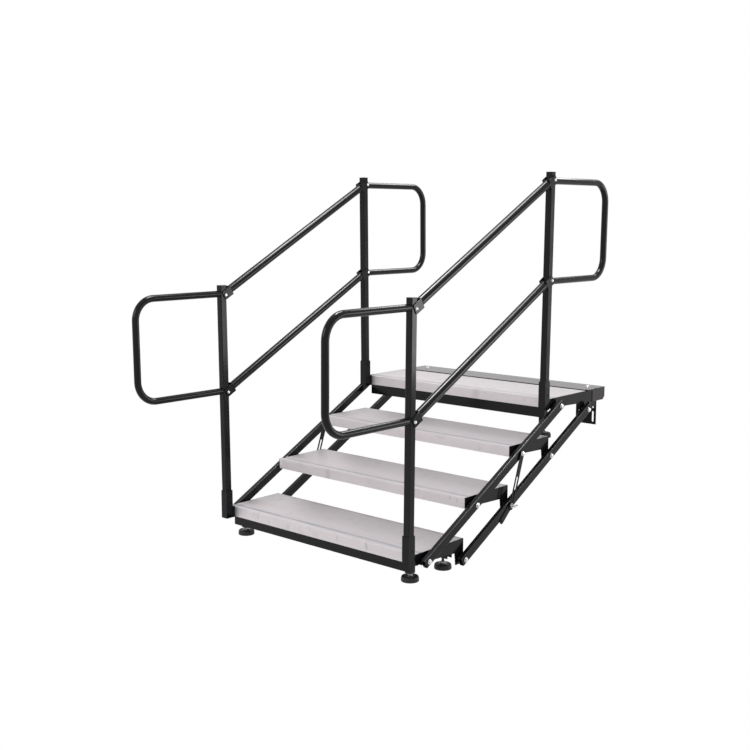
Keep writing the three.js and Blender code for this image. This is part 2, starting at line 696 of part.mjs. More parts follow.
// Bolt through link and side plate, its head outside unless it is flush
function linkBolt(pivot, index, side, flush) {
  const at = pivotAt(pivot, index);
  const inside = PLATE_IN - GAP;
  const nut = rodAlongX(at.y, at.z, hexRadius(HEAD_FLATS), inside - NUT_TALL, inside, HEX_SIDES);
  const spacer = rodAlongX(at.y, at.z, SPACER_R, PLATE_OUT + GAP, LINK_INNER_FACE - GAP, HEAD_STEPS);
  if (flush) {
    const pin = rodAlongX(at.y, at.z, BOLT_R, inside - OVERLAP, LINK_OUTER_FACE - GAP);
    return mirrored(join(nut, spacer, pin), side);
  }
  const clampsBrace = pivot === FRONT_PIVOT && index === BRACE_LEVEL;
  const seat = (clampsBrace ? BRACE_OUT : LINK_OUTER_FACE) + GAP;
  const washer = rodAlongX(at.y, at.z, WASHER_R, seat, seat + WASHER_THICK, HEAD_STEPS);
  const head = rodAlongX(at.y, at.z, hexRadius(HEAD_FLATS), seat + WASHER_THICK - GAP,
    seat + WASHER_THICK + HEAD_TALL, HEX_SIDES);
  const shank = rodAlongX(at.y, at.z, BOLT_R, inside - OVERLAP, seat + OVERLAP);
  return mirrored(join(nut, spacer, shank, washer, head), side);
}

// U-shaped end that straddles a post, its web towards plus y
function clevis() {
  const half = CLEVIS_INNER / 2;
  const outer = half + CLEVIS_THICK;
  const deep = CLEVIS_DEEP / 2;
  const body = block(-outer, outer, -CLEVIS_TAIL, CLEVIS_REACH, -deep, deep);
  const gap = block(-half, half, -CLEVIS_TAIL - OVERLAP, CLEVIS_REACH - CLEVIS_THICK,
    -deep - OVERLAP, deep + OVERLAP);
  const hole = rodAlongX(0, 0, RAIL_HOLE_R, -outer - OVERLAP, outer + OVERLAP);
  return body.subtract(join(gap, hole));
}

function handrail() {
  const length = TOP_LEVEL * LINK_PITCH;
  const tube = rodAlongY(0, 0, RAIL_R, CLEVIS_REACH - OVERLAP, length - CLEVIS_REACH + OVERLAP,
    TUBE_STEPS);
  const bore = rodAlongY(0, 0, RAIL_R - RAIL_WALL, CLEVIS_REACH - CLEVIS_THICK - OVERLAP,
    length - CLEVIS_REACH + CLEVIS_THICK + OVERLAP, TUBE_STEPS);
  const lower = clevis();
  const upper = clevis().mirror([0, 1, 0]).translate([0, length, 0]);
  return join(tube, lower, upper).subtract(bore).rotate([REST_ANGLE, 0, 0]);
}

function railPivot(height) {
  return { y: POST_Y + RAIL_PIVOT_BACK, z: BASE_TOP + height };
}

function railAt(height, side) {
  const at = railPivot(height);
  return mirrored(handrail().translate([POST_X + leanAt(height), at.y, at.z]), side);
}

function railBolt(height, index, side) {
  const at = railPivot(height);
  const y = at.y + index * GOING;
  const z = at.z + index * RISE;
  const middle = POST_X + leanAt(height);
  const face = CLEVIS_INNER / 2 + CLEVIS_THICK + GAP;
  const end = face + RAIL_HEAD_TALL;
  const head = rodAlongX(y, z, RAIL_HEAD_R, middle + face, middle + end, HEAD_STEPS);
  const shank = rodAlongX(y, z, RAIL_BOLT_R, middle - face - OVERLAP, middle + face + OVERLAP);
  const nut = rodAlongX(y, z, RAIL_HEAD_R, middle - end, middle - face, HEX_SIDES);
  return mirrored(join(head, shank, nut), side);
}

function roundedBar(x0, x1, length, wide) {
  const radius = wide / 2;
  return join(
    block(x0, x1, 0, length, -radius, radius),
    rodAlongX(0, 0, radius, x0, x1, TUBE_STEPS),
    rodAlongX(length, 0, radius, x0, x1, TUBE_STEPS));
}

// Angle in degrees of the line from one point to another in the side view
function headingOf(from, to) {
  return Math.atan2(to.z - from.z, to.y - from.y) / RADIANS;
}

function braceBar(side) {
  const top = pivotAt(FRONT_PIVOT, BRACE_LEVEL);
  const stud = pivotAt(REAR_PIVOT, STUD_LEVEL);
  const end = BRACE_LENGTH - BRACE_WIDE / 2;
  const bar = roundedBar(BRACE_IN, BRACE_OUT, end, BRACE_WIDE);
  const boss = rodAlongX(0, 0, BRACE_BOSS_R, TAIL_IN, BRACE_IN + OVERLAP, HEAD_STEPS);
  const hole = rodAlongX(0, 0, HOLE_R, TAIL_IN - OVERLAP, BRACE_OUT + OVERLAP);
  const slotFrom = BRACE_SLOT_START + HOLE_R;
  const slotTo = BRACE_SLOT_END - HOLE_R;
  const slot = join(
    rodAlongX(slotFrom, 0, HOLE_R, BRACE_IN - OVERLAP, BRACE_OUT + OVERLAP),
    rodAlongX(slotTo, 0, HOLE_R, BRACE_IN - OVERLAP, BRACE_OUT + OVERLAP),
    block(BRACE_IN - OVERLAP, BRACE_OUT + OVERLAP, slotFrom, slotTo, -HOLE_R, HOLE_R));
  const flat = join(bar, boss).subtract(join(hole, slot));
  const laid = flat.rotate([headingOf(top, stud), 0, 0]).translate([0, top.y, top.z]);
  return mirrored(laid, side);
}

function braceTail(side) {
  const stud = pivotAt(REAR_PIVOT, STUD_LEVEL);
  const length = Math.hypot(TAIL_END.y, TAIL_END.z);
  const bar = roundedBar(TAIL_IN, TAIL_OUT, length, TAIL_WIDE);
  const rivet = rodAlongX(length, 0, BOLT_R, TAIL_OUT - OVERLAP, TAIL_OUT + TAIL_THICK);
  const hole = rodAlongX(0, 0, HOLE_R, TAIL_IN - OVERLAP, TAIL_OUT + OVERLAP);
  const flat = join(bar, rivet).subtract(hole);
  const angle = headingOf({ y: 0, z: 0 }, TAIL_END);
  return mirrored(flat.rotate([angle, 0, 0]).translate([0, stud.y, stud.z]), side);
}

// Wing nut on the stud that rides in the slot of a brace
function wingNut(side) {
  const at = pivotAt(REAR_PIVOT, STUD_LEVEL);
  const hubIn = BRACE_OUT + GAP;
  const hubOut = hubIn + NUT_HUB_TALL;
  const stud = rodAlongX(0, 0, BOLT_R, TAIL_IN, hubOut + STUD_TIP, ROUND_STEPS);
  const hub = rodAlongX(0, 0, NUT_HUB_R, hubIn, hubOut, ROUND_STEPS);
  const half = WING_SPAN / 2;
  const wing = new THREE.Shape([
    new THREE.Vector2(0, hubIn + OVERLAP),
    new THREE.Vector2(NUT_HUB_R, hubIn + OVERLAP),
    new THREE.Vector2(half, hubIn + WING_FLARE),
    new THREE.Vector2(half, hubIn + WING_FLARE + WING_TALL),
    new THREE.Vector2(NUT_HUB_R + WING_THICK, hubOut),
    new THREE.Vector2(0, hubOut),
  ]);
  const geometry = new THREE.ExtrudeGeometry(wing, { depth: WING_THICK, bevelEnabled: false });
  geometry.translate(0, 0, -WING_THICK / 2);
  geometry.applyMatrix4(new THREE.Matrix4().makeBasis(
    new THREE.Vector3(0, 1, 0), new THREE.Vector3(1, 0, 0), new THREE.Vector3(0, 0, -1)));
  const blade = solid(geometry);
  const body = join(stud, hub, blade, blade.mirror([0, 1, 0]));
  return mirrored(body.translate([0, at.y, at.z]), side);
}

// Levelling foot, given where its stem enters the frame
function levellingFoot(x, y, floor) {
  const washerTop = floor + PAD_TALL + FOOT_WASHER_THICK;
  const nutTop = washerTop + FOOT_NUT_TALL;
  const bevelTop = floor + PAD_BEVEL;
  return join(
    rodAlongZ(x, y, PAD_R - PAD_BEVEL, PAD_R, floor, bevelTop, PAD_STEPS),
    rodAlongZ(x, y, PAD_R, PAD_TOP_R, bevelTop, floor + PAD_TALL, PAD_STEPS),
    rodAlongZ(x, y, FOOT_WASHER_R, FOOT_WASHER_R, floor + PAD_TALL - OVERLAP, washerTop,
      TUBE_STEPS),
    rodAlongZ(x, y, hexRadius(FOOT_NUT_FLATS), hexRadius(FOOT_NUT_FLATS), washerTop - OVERLAP,
      nutTop, HEX_SIDES),
    rodAlongZ(x, y, STEM_R, STEM_R, nutTop - OVERLAP, nutTop + STEM_ABOVE_NUT));
}

// Finishes
const FINISH = {
  blackGloss: { color: 0x17171a, roughness: 0.28, metalness: 0.1 },
  millSilver: { color: 0xd2d2d4, roughness: 0.42, metalness: 0.85 },
  zinc: { color: 0xc9ccd0, roughness: 0.3, metalness: 0.9 },
  darkRubber: { color: 0x1b1b1c, roughness: 0.8, metalness: 0 },
  hookBronze: { color: 0x6c615c, roughness: 0.45, metalness: 0.5 },
};

// The frame's origin lies under the hook bar where it rests on the stage
const platform = levelOf(TOP_LEVEL);
const ORIGIN = [0, -(platform.y + HOOK_MOUNT_Y), -(platform.z + HOOK_PROUD - HOOK_THICK)];

const group = new THREE.Group();

function add(name, piece, finish) {
  const mesh = piece.translate(ORIGIN).getMesh();
  const geometry = new THREE.BufferGeometry();
  geometry.setAttribute("position", new THREE.BufferAttribute(new Float32Array(mesh.vertProperties), 3));
  geometry.setIndex(new THREE.BufferAttribute(new Uint32Array(mesh.triVerts), 1));
  geometry.computeVertexNormals();
  const node = new THREE.Mesh(geometry, new THREE.MeshStandardMaterial(FINISH[finish]));
  node.name = name;
  group.add(node);
}

const SIDES = [["left", -1], ["right", 1]];

add("base_frame", atLevel(baseFrame(), 0), "blackGloss");
add("base_tread", atLevel(treadPlank(), 0), "millSilver");
add("step_2_frame", atLevel(treadFrame(0), 1), "blackGloss");
add("step_2_tread", atLevel(treadPlank(), 1), "millSilver");
add("step_3_frame", atLevel(treadFrame(0), 2), "blackGloss");
add("step_3_tread", atLevel(treadPlank(), 2), "millSilver");
add("platform_frame", atLevel(platformFrame(), TOP_LEVEL), "blackGloss");
add("platform_tread", atLevel(treadPlank(), TOP_LEVEL), "millSilver");
add("hook_bar", atLevel(hookBar(), TOP_LEVEL), "hookBronze");

for (const [word, side] of SIDES) {
  add(`stage_bracket_${word}`, atLevel(mirrored(stageBracket(), side), TOP_LEVEL), "blackGloss");
  add(`hook_bolt_${word}`, atLevel(mirrored(hookBolt(), side), TOP_LEVEL), "zinc");
  const lowerPost = mirrored(postWithLoop(-1), side);
  const upperPost = mirrored(postWithLoop(1), side);
  add(`lower_post_${word}`, lowerPost.translate([0, 0, BASE_TOP]), "blackGloss");
  add(`upper_post_${word}`,
    upperPost.translate([0, TOP_LEVEL * GOING, BASE_TOP + TOP_LEVEL * RISE]), "blackGloss");
  add(`front_link_${word}`, linkAt(FRONT_PIVOT, FRONT_LINK_HEAD, side), "blackGloss");
  add(`rear_link_${word}`, linkAt(REAR_PIVOT, REAR_LINK_HEAD, side), "blackGloss");
  add(`upper_rail_${word}`, railAt(RAIL_PIVOT_UPPER, side), "blackGloss");
  add(`lower_rail_${word}`, railAt(RAIL_PIVOT_LOWER, side), "blackGloss");
  for (let index = 0; index <= TOP_LEVEL; index += 1) {
    add(`front_bolt_${index + 1}_${word}`, linkBolt(FRONT_PIVOT, index, side, false), "zinc");
    const flush = index === STUD_LEVEL;
    add(`rear_bolt_${index + 1}_${word}`, linkBolt(REAR_PIVOT, index, side, flush), "zinc");
  }
  for (const [end, index] of [["lower", 0], ["upper", TOP_LEVEL]]) {
    add(`rail_bolt_top_${end}_${word}`, railBolt(RAIL_PIVOT_UPPER, index, side), "zinc");
    add(`rail_bolt_mid_${end}_${word}`, railBolt(RAIL_PIVOT_LOWER, index, side), "zinc");
  }
  add(`brace_bar_${word}`, braceBar(side), "blackGloss");
  add(`brace_tail_${word}`, braceTail(side), "blackGloss");
  add(`wing_nut_${word}`, wingNut(side), "zinc");
  add(`foot_front_${word}`, levellingFoot(side * FOOT_X, FOOT_FRONT_Y, 0), "darkRubber");
  add(`foot_rear_${word}`, levellingFoot(side * FOOT_X, FOOT_REAR_Y, 0), "darkRubber");
}
add("foot_platform",
  levellingFoot(FOOT_X, platform.y + PLATFORM_FOOT_Y, platform.z - PLATFORM_FOOT_DROP), "darkRubber");

export default group;
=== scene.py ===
"""Stage stairs: the finished look of the folding stair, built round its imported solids."""
import json
import math

import bmesh
import bpy
from bmesh.types import BMEdge, BMVert
from bpy.props import FloatProperty, FloatVectorProperty, IntProperty, PointerProperty
from bpy.types import Operator, Panel, PropertyGroup
from mathutils import Matrix, Vector


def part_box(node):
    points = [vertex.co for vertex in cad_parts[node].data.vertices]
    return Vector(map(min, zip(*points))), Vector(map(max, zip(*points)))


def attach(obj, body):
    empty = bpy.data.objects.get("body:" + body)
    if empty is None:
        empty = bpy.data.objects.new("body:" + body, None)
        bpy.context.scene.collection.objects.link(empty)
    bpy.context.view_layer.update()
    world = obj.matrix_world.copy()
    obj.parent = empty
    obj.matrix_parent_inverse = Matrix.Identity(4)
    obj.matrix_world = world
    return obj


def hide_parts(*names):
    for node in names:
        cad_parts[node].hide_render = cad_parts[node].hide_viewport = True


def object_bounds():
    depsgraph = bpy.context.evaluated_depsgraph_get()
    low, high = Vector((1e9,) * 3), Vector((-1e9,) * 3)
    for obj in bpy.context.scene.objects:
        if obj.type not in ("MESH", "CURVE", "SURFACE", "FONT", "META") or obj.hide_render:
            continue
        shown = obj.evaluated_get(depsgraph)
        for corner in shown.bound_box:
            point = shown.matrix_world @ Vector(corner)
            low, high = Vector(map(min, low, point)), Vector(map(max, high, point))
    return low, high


bl_info = {
    "name": "Stage stairs",
    "version": (1, 0, 0),
    "blender": (4, 5, 0),
    "location": "View3D > Sidebar > Stairs",
    "description": "Builds the visible pieces, finishes and studio of a folding stage stair",
    "category": "Add Mesh",
}

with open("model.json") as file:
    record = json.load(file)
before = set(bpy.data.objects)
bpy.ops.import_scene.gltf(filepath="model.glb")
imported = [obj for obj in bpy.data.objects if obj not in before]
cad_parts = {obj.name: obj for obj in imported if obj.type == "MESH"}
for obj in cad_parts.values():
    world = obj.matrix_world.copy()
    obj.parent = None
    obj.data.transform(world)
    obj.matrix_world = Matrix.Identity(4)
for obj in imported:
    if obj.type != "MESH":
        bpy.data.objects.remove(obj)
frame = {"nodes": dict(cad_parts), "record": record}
CAD_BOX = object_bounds()

MM = 0.001
SIDES = (("left", -1), ("right", 1))

# Places read from the solids
BASE_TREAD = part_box("base_tread")
STEP_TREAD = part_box("step_2_tread")
FRONT_Y = BASE_TREAD[0].y
BASE_Z = BASE_TREAD[1].z
GOING = STEP_TREAD[0].y - BASE_TREAD[0].y
RISE = STEP_TREAD[1].z - BASE_TREAD[1].z
SLOPE = math.atan2(RISE, GOING)
PITCH = math.hypot(GOING, RISE)
TREAD_BODIES = ("base", "step_2", "step_3", "platform")
TREADS = tuple(f"{body}_tread" for body in TREAD_BODIES)
TOP = 3

# Places on the solids, millimetres from a tread's front edge and top
TREAD_DEPTH = BASE_TREAD[1].y - BASE_TREAD[0].y
POST_X = 518 * MM
POST_Y = -28.5 * MM
POST_HALF = 14.75 * MM
POST_WALL = 2 * MM
POST_SEAT = -40 * MM
POST_RISE = 37 * MM
POST_LEAN = math.radians(0.6)
LEAN_LEVEL = 15 * MM
RAIL_HEIGHTS = {"upper": 927 * MM, "lower": 509.5 * MM}
RAIL_BACK = 7 * MM
LOOP_RISES = {-1: 4 * MM, 1: -4 * MM}
LOOP_REACH = 446 * MM
LOOP_BEND = 88 * MM
CLEVIS_REACH = 42 * MM
CLEVIS_TAIL = 10 * MM
CLEVIS_DEEP = 40 * MM
CLEVIS_HALF = 15.35 * MM
CLEVIS_THICK = 3 * MM
FRONT_PIVOT = (42 * MM, -31.5 * MM)
REAR_PIVOT = (TREAD_DEPTH - 21 * MM, -77.5 * MM)
PLATE_FACE = 533.2 * MM
LINK_INNER = 542 * MM
LINK_FACE = 562 * MM
BRACE_FACE = 569 * MM
SLEEVE_HALF = 17.25 * MM
HOOK_END = 532 * MM

# Tread planks: skin, fascia, ribs, rounded nose and the channel behind it
SKIN = 3 * MM
WALL = 2.5 * MM
LIP = 9 * MM
LIP_BREAK = 1 * MM
RIB_PLACES = (92 * MM, 150 * MM, 208 * MM)
RIB_TALL = 28 * MM
REAR_TALL = 22 * MM
REAR_BREAK = 1.2 * MM
REAR_CORNER = 0.35 * MM
NOSE = 2.4 * MM
NOSE_STEPS = 4
CHANNEL_SPAN = (20 * MM, 41 * MM)
CHANNEL_DEEP = 1 * MM
TOP_BAND = 4 * MM

# Posts, loops and clevises, with weld beads as shares of their size out from and along a tube
CAP_TALL = 1.4 * MM
CAP_PROUD = 0.3 * MM
CAP_COVER = 1.2 * MM
CAP_EDGE = 0.8 * MM
HOLLOW_DEEP = 30 * MM
BEND_STEPS = 16
WELD_SHARES = ((-0.4, -0.2), (0.7, -0.2), (0.55, 0.5), (0, 1), (-0.4, 1), (-0.4, -0.2))
LOOP_WELD = 2.2 * MM
RAIL_WELD = 2.4 * MM
CLEVIS_TIP = 7 * MM
CLEVIS_FOLD = 2.5 * MM
CLEVIS_EDGE = 0.5 * MM

# Bolts: radii, flats across and reaches within their solids' boxes
BOLT_RADIUS = 4.6 * MM
SPACER_RADIUS = 8.8 * MM
SPACER_PLAY = 0.4 * MM
BOLT_TIP = 3 * MM
BOLT_END = 5 * MM
NUT_TALL = 7 * MM
NUT_FLATS = 16 * MM
NUT_CHAMFER = 1.2 * MM
HEAD_FLATS = 15 * MM
HEAD_SEAT = 7.5 * MM
HEAD_RISE = 1.5 * MM
HEAD_CHAMFER = 1.3 * MM
RAIL_BOLT_RADIUS = 3.9 * MM
RAIL_NUT_SPAN = (5 * MM, 0.4 * MM)
RAIL_NUT_FLATS = 12 * MM
RAIL_NUT_CHAMFER = 0.8 * MM
RAIL_HEAD_TALL = 5 * MM
HOOK_BOLT_RADIUS = 4.9 * MM
HOOK_NUT_SPAN = (8 * MM, 1.2 * MM)
HOOK_NUT_FLATS = 15.5 * MM
HOOK_HEAD_TALL = 4.5 * MM

# Round profiles, (radius, height) points in millimetres
WASHER = ((4, 0), (10.2, 0), (10.5, 0.3), (10.5, 1.2), (10.1, 1.6), (4, 1.6))
SPRING_WASHER = ((7, 1.2), (9.4, 1.4), (9.2, 2.2), (7.2, 3.2))
RAIL_HEAD = ((0, 5), (2.6, 4.8), (5.2, 3.6), (6.7, 1.6), (7, 0), (0, 0))
HOOK_HEAD = ((0, 4.5), (3.4, 4.4), (7.6, 3.2), (10.2, 1.4), (11, 0), (0, 0))
NUT_HUB = ((5, 0.2), (9.6, 0.2), (10, 1), (8.4, 9), (7.2, 12.4), (5, 12.8))
FOOT_WASHER = ((0, 20.2), (16.6, 20.2), (17, 20.8), (17, 22.6), (16.2, 23.4), (0, 23.4))

# Foot pad: points as a distance in from its radius and a height in millimetres, and its dish
PAD_SIDE = ((3, 0), (1, 0.8), (0, 3), (0.6, 12), (2.2, 19), (4.2, 20.8), (7, 21))
PAD_DISH_RADIUS = 16 * MM
PAD_DISH_HEIGHT = 20.2 * MM
FOOT_NUT_FLATS = 19 * MM
FOOT_NUT_CHAMFER = 1.4 * MM
FOOT_NUT_SPAN = (23.2 * MM, 31.2 * MM)
STEM_RADIUS = 5.6 * MM
STEM_START = 30 * MM
STEM_PITCH = 1.75 * MM

# Wing nuts
STUD_RADIUS = 4.8 * MM
STUD_LENGTH = 27.5 * MM
STUD_PITCH = 1.5 * MM
WING_SIZE = (15 * MM, 19 * MM, 3.4 * MM)
WING_FOOT = (1.5 * MM, 7 * MM)
WING_LEAN = math.radians(-24)
WING_TIP = 6 * MM
WING_EDGE = 1.2 * MM
WING_ANGLE = math.radians(60)
THREAD_POINT = 0.8 * MM

# Socket screws: points as a share of the head's radius and a height in millimetres
SCREW_HEAD = ((0, -1.2), (0.5, -1.2), (0.5, 0.1), (0.8, 0.35), (1, 0.1), (1, -2.2), (0, -2.2))
SLEEVE_SCREW_UP = 18 * MM
SLEEVE_SCREW_RADIUS = 3.2 * MM
SIDE_SCREW = (257.8 * MM, -28.6 * MM)
SIDE_SCREW_RADIUS = 3.4 * MM

# Faces round the small turned parts, and the limits of the mesh work
STEPS = {"bolt": 20, "thread": 24, "spacer": 28, "head": 32, "dome": 40, "pad": 56}
EDGE_ANGLE = math.radians(50)
SHADE_ANGLE = math.radians(32)
FLAT_ANGLE = math.radians(0.6)
LONG_EDGE = 300 * MM
NEAR = 0.01 * MM
CLOSE = 0.001 * MM

# Studio lamps from the middle of the stair: name, place and size in metres, watts
LAMPS = (("overhead", (-0.5, 0.85, 6.4), (1.1, 1.1), 160.0),
         ("front", (-1.6, -6.4, 3.2), (2.8, 2.8), 168.0),
         ("right_back", (3.0, 2.7, 0.1), (1.4, 1.4), 36.0),
         ("rear_top", (-1.2, 4.4, 3.85), (0.6, 0.6), 20.0))
SOFTBOXES = (("ceiling", (0.3, 0.75, 3.8), (1.8, 1.6), 150.0),
             ("ceiling_back", (0.3, 3.9, 3.6), (1.6, 1.6), 110.0))
FLOOR_SIZE = 40.0
SKY_COLOUR = (0.97, 0.97, 1.0)
SKY_STRENGTH = 0.5

# Camera, aimed from the base tread's front edge and top
LENS = 52.785
CAMERA_TURN = math.radians(41.936)
CAMERA_RISE = math.radians(8.246)
CAMERA_AWAY = 4662.74 * MM
CAMERA_TARGET = (360.494 * MM, 591.16 * MM)

# Tones within the finishes, painted highlights and shade among them, and where they start and end
RUBBED_HIGHLIGHT_TONE = (0.36, 0.35, 0.36)
SHADE_GREY = (0.55, 0.53, 0.54)
CHANNEL_SHADE = (0.36, 0.37, 0.42)
MARK_AND_REFLECTION_TONE = (0.24, 0.245, 0.28)
REAR_SHADE = (90 * MM, 250 * MM)
RIGHT_SHADE = (-300 * MM, 530 * MM)
NOSE_HIGHLIGHT = (6 * MM, 3 * MM)
HOOK_DULL = (9 * MM, 4 * MM)
# Near-black screw tones that paint the shade of the holes
HOLE_SHADE_DARK = (0.0015, 0.0015, 0.0015)
HOLE_SHADE_LIGHT = (0.006, 0.006, 0.007)

# Marks and painted post reflections are half as wide as tall
NARROW = Vector((2.0, 1.0, 1.0))

# Handling marks on the fascias, and painted reflections of the posts at the left ends of the base
# and platform fascias (the two of strength 1.0): tread, place across and below its top, radius,
# strength
MARKS_AND_POST_REFLECTIONS = ((0, -503, -20, 62, 1.0), (0, -351, -19, 16, 0.4), (0, -282, -28, 16, 0.4),
         (0, -165, -28, 22, 0.35), (0, -123, -22, 11, 0.3), (0, 119, -18, 16, 0.4),
         (0, 276, -14, 15, 0.6), (0, 280, -28, 15, 0.6), (1, -222, -24, 44, 0.4),
         (1, 457, -12, 14, 0.4), (1, 492, -17, 14, 0.4), (3, -505, -20, 56, 1.0),
         (3, 135, -16, 52, 0.35))


class StairSizes(PropertyGroup):
    """Sizes of the finished edges and round pieces"""
    edge: FloatProperty(name="Plate edge", description="Rounding of plate and tube edges",
                        default=1.0 * MM, unit="LENGTH")
    tube_edge: FloatProperty(name="Tube corner", description="Corner radius of the square posts",
                             default=2.4 * MM, unit="LENGTH")
    link_corner: FloatProperty(name="Link corner", description="Corner radius of the link tubes",
                               default=3.0 * MM, unit="LENGTH")
    loop_radius: FloatProperty(name="Loop tube", description="Outer radius of the end loops",
                               default=14.3 * MM, unit="LENGTH")
    rail_radius: FloatProperty(name="Handrail", description="Outer radius of the handrails",
                               default=17.4 * MM, unit="LENGTH")
    pad_radius: FloatProperty(name="Foot pad", description="Radius of the levelling pads",
                              default=35.4 * MM, unit="LENGTH")
    round_steps: IntProperty(name="Round steps", description="Faces round a tube",
                             default=40, min=8)


class StairColours(PropertyGroup):
    """Base colours of the finishes"""
    powder: FloatVectorProperty(name="Powder coat", description="Gloss black coat on the steelwork",
                                subtype="COLOR", size=3, default=(0.0055, 0.0054, 0.0066))
    silver: FloatVectorProperty(name="Mill aluminium", description="Treads as they leave the press",
                                subtype="COLOR", size=3, default=(0.68, 0.632, 0.642))
    zinc: FloatVectorProperty(name="Zinc plate", description="Bolts, washers and wing nuts",
                              subtype="COLOR", size=3, default=(0.72, 0.73, 0.74))
    rubber: FloatVectorProperty(name="Pad rubber", description="Levelling pads", subtype="COLOR",
                                size=3, default=(0.012, 0.012, 0.014))
    hook: FloatVectorProperty(name="Hook bar", description="Dark brown paint of the hook bar",
                              subtype="COLOR", size=3, default=(0.034, 0.023, 0.024))


class Socket:
    """A shader socket that adds its own maths nodes"""

    def __init__(self, tree, link):
        self.tree = tree
        self.link = link

    def maths(self, operation, other, swapped=False):
        """A maths node of this value and another, a socket or a number"""
        node = self.tree.nodes.new("ShaderNodeMath")
        node.operation = operation
        values = (other, self) if swapped else (self, other)
        for socket, value in zip(node.inputs, values):
            if isinstance(value, Socket):
                self.tree.links.new(value.link, socket)
            else:
                socket.default_value = value
        return Socket(self.tree, node.outputs[0])

    def __add__(self, other):
        return self.maths("ADD", other)

    __radd__ = __add__

    def __sub__(self, other):
        return self.maths("SUBTRACT", other)

    def __rsub__(self, other):
        return self.maths("SUBTRACT", other, swapped=True)

    def __mul__(self, other):
        return self.maths("MULTIPLY", other)

    __rmul__ = __mul__

    def __gt__(self, other):
        return self.maths("GREATER_THAN", other)

    def clamp(self):
        """The value held between nought and one"""
        held = self.maths("MULTIPLY", 1.0)
        held.link.node.use_clamp = True
        return held


def level(index):
    """Front edge and top of a tread, from its own solid"""
    low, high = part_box(TREADS[index])
    return low.y, high.z


class Finish:
    """A node tree under construction"""

    def __init__(self, tree):
        self.tree = tree

    @classmethod
    def named(cls, name):
        """A new material with its own tree"""
        material = bpy.data.materials.new(name)
        material.use_nodes = True
        finish = cls(material.node_tree)
        finish.material = material
        finish.shader = material.node_tree.nodes["Principled BSDF"]
        finish.place = finish.node("ShaderNodeTexCoord", out="Object")
        return finish

    def node(self, kind, settings=None, sockets=None, out=0):
        """Adds a node, its settings first and then the values or links of its sockets"""
        made = self.tree.nodes.new(kind)
        for key, value in (settings or {}).items():
            setattr(made, key, value)
        for key, value in (sockets or {}).items():
            self.feed(made.inputs[key], value)
        return Socket(self.tree, made.outputs[out])

    def feed(self, socket, value):
        """Links a socket, or sets its value"""
        if isinstance(value, Socket):
            self.tree.links.new(value.link, socket)
        elif socket.type == "RGBA":
            socket.default_value = (*value[:3], 1.0)
        else:
            socket.default_value = value

    def stretched(self, scale):
        """Object coordinates scaled along each axis"""
        return self.node("ShaderNodeMapping", sockets={"Vector": self.place, "Scale": scale})

    def noise(self, scale, detail=3.0, rough=0.5, place=None):
        """Noise in object coordinates, or at a place"""
        return self.node("ShaderNodeTexNoise", sockets={
            "Vector": place or self.place, "Scale": scale, "Detail": detail, "Roughness": rough},
            out="Fac")

    def carried(self, name, out):
        """An attribute that the mesh carries"""
        return self.node("ShaderNodeAttribute", {"attribute_name": name}, out=out)

    def along(self, axis, vector=None):
        """One axis of a vector, or of the object coordinates"""
        return self.node("ShaderNodeSeparateXYZ", sockets={0: vector or self.place}, out=axis)

    def ramp(self, value, low, high, to_low=0.0, to_high=1.0):
        """A value carried from one range to another and held there"""
        return self.node("ShaderNodeMapRange", {"clamp": True}, {
            "Value": value, "From Min": low, "From Max": high, "To Min": to_low, "To Max": to_high},
            "Result")

    def mix(self, factor, first, second):
        """One colour blended into another"""
        return self.node("ShaderNodeMix", {"data_type": "RGBA"},
                         {0: factor, 6: first, 7: second}, 2)

    def bump(self, height, strength, distance):
        """A normal from a height"""
        return self.node("ShaderNodeBump", sockets={
            "Height": height, "Strength": strength, "Distance": distance}, out="Normal")

    def spot(self, centre, radius):
        """Soft upright patch about a point, one in its middle and nothing outside"""
        place = self.node("ShaderNodeVectorMath", {"operation": "MULTIPLY"},
                          {0: self.place, 1: NARROW}, "Vector")
        gap = self.node("ShaderNodeVectorMath", {"operation": "DISTANCE"},
                        {0: place, 1: NARROW * Vector(centre)}, "Value")
        return self.ramp(gap, radius, 0.0)

    def surface(self, **values):
        """Feeds the shader's sockets by name and gives the material"""
        for key, value in values.items():
            self.feed(self.shader.inputs[key.replace("_", " ")], value)
        return self.material


def shade(colour, factor):
    """A colour made darker or lighter"""
    return tuple(min(1.0, channel * factor) for channel in colour)


def powder_coat(name, colour):
    """Gloss black powder coat with orange peel, a little dust, and a painted highlight along the
    upper outer corners, broken up like scuffing
    """
    finish = Finish.named(name)
    peel = finish.noise(420.0, 2.0)
    cloud = finish.noise(7.0, 4.0, 0.6)
    dust = finish.ramp(finish.noise(38.0, 5.0, 0.65), 0.52, 0.78)
    tone = finish.mix(dust * 0.4, colour, shade(colour, 2.0))
    highlight_wear = finish.ramp(finish.noise(22.0, 2.0, 0.5), 0.35, 0.6, 0.55, 1.0)
    # Painted highlight along the marked upper outer corners, broken up by noise like scuffing
    rubbed_highlight = finish.carried("rubbed_highlight", "Fac") * highlight_wear
    tone = finish.mix(rubbed_highlight, tone, RUBBED_HIGHLIGHT_TONE)
    return finish.surface(Base_Color=tone, Roughness=finish.ramp(cloud, 0.3, 0.7, 0.11, 0.19),
                          Specular_IOR_Level=0.17, Normal=finish.bump(peel, 0.02, 0.4 * MM))


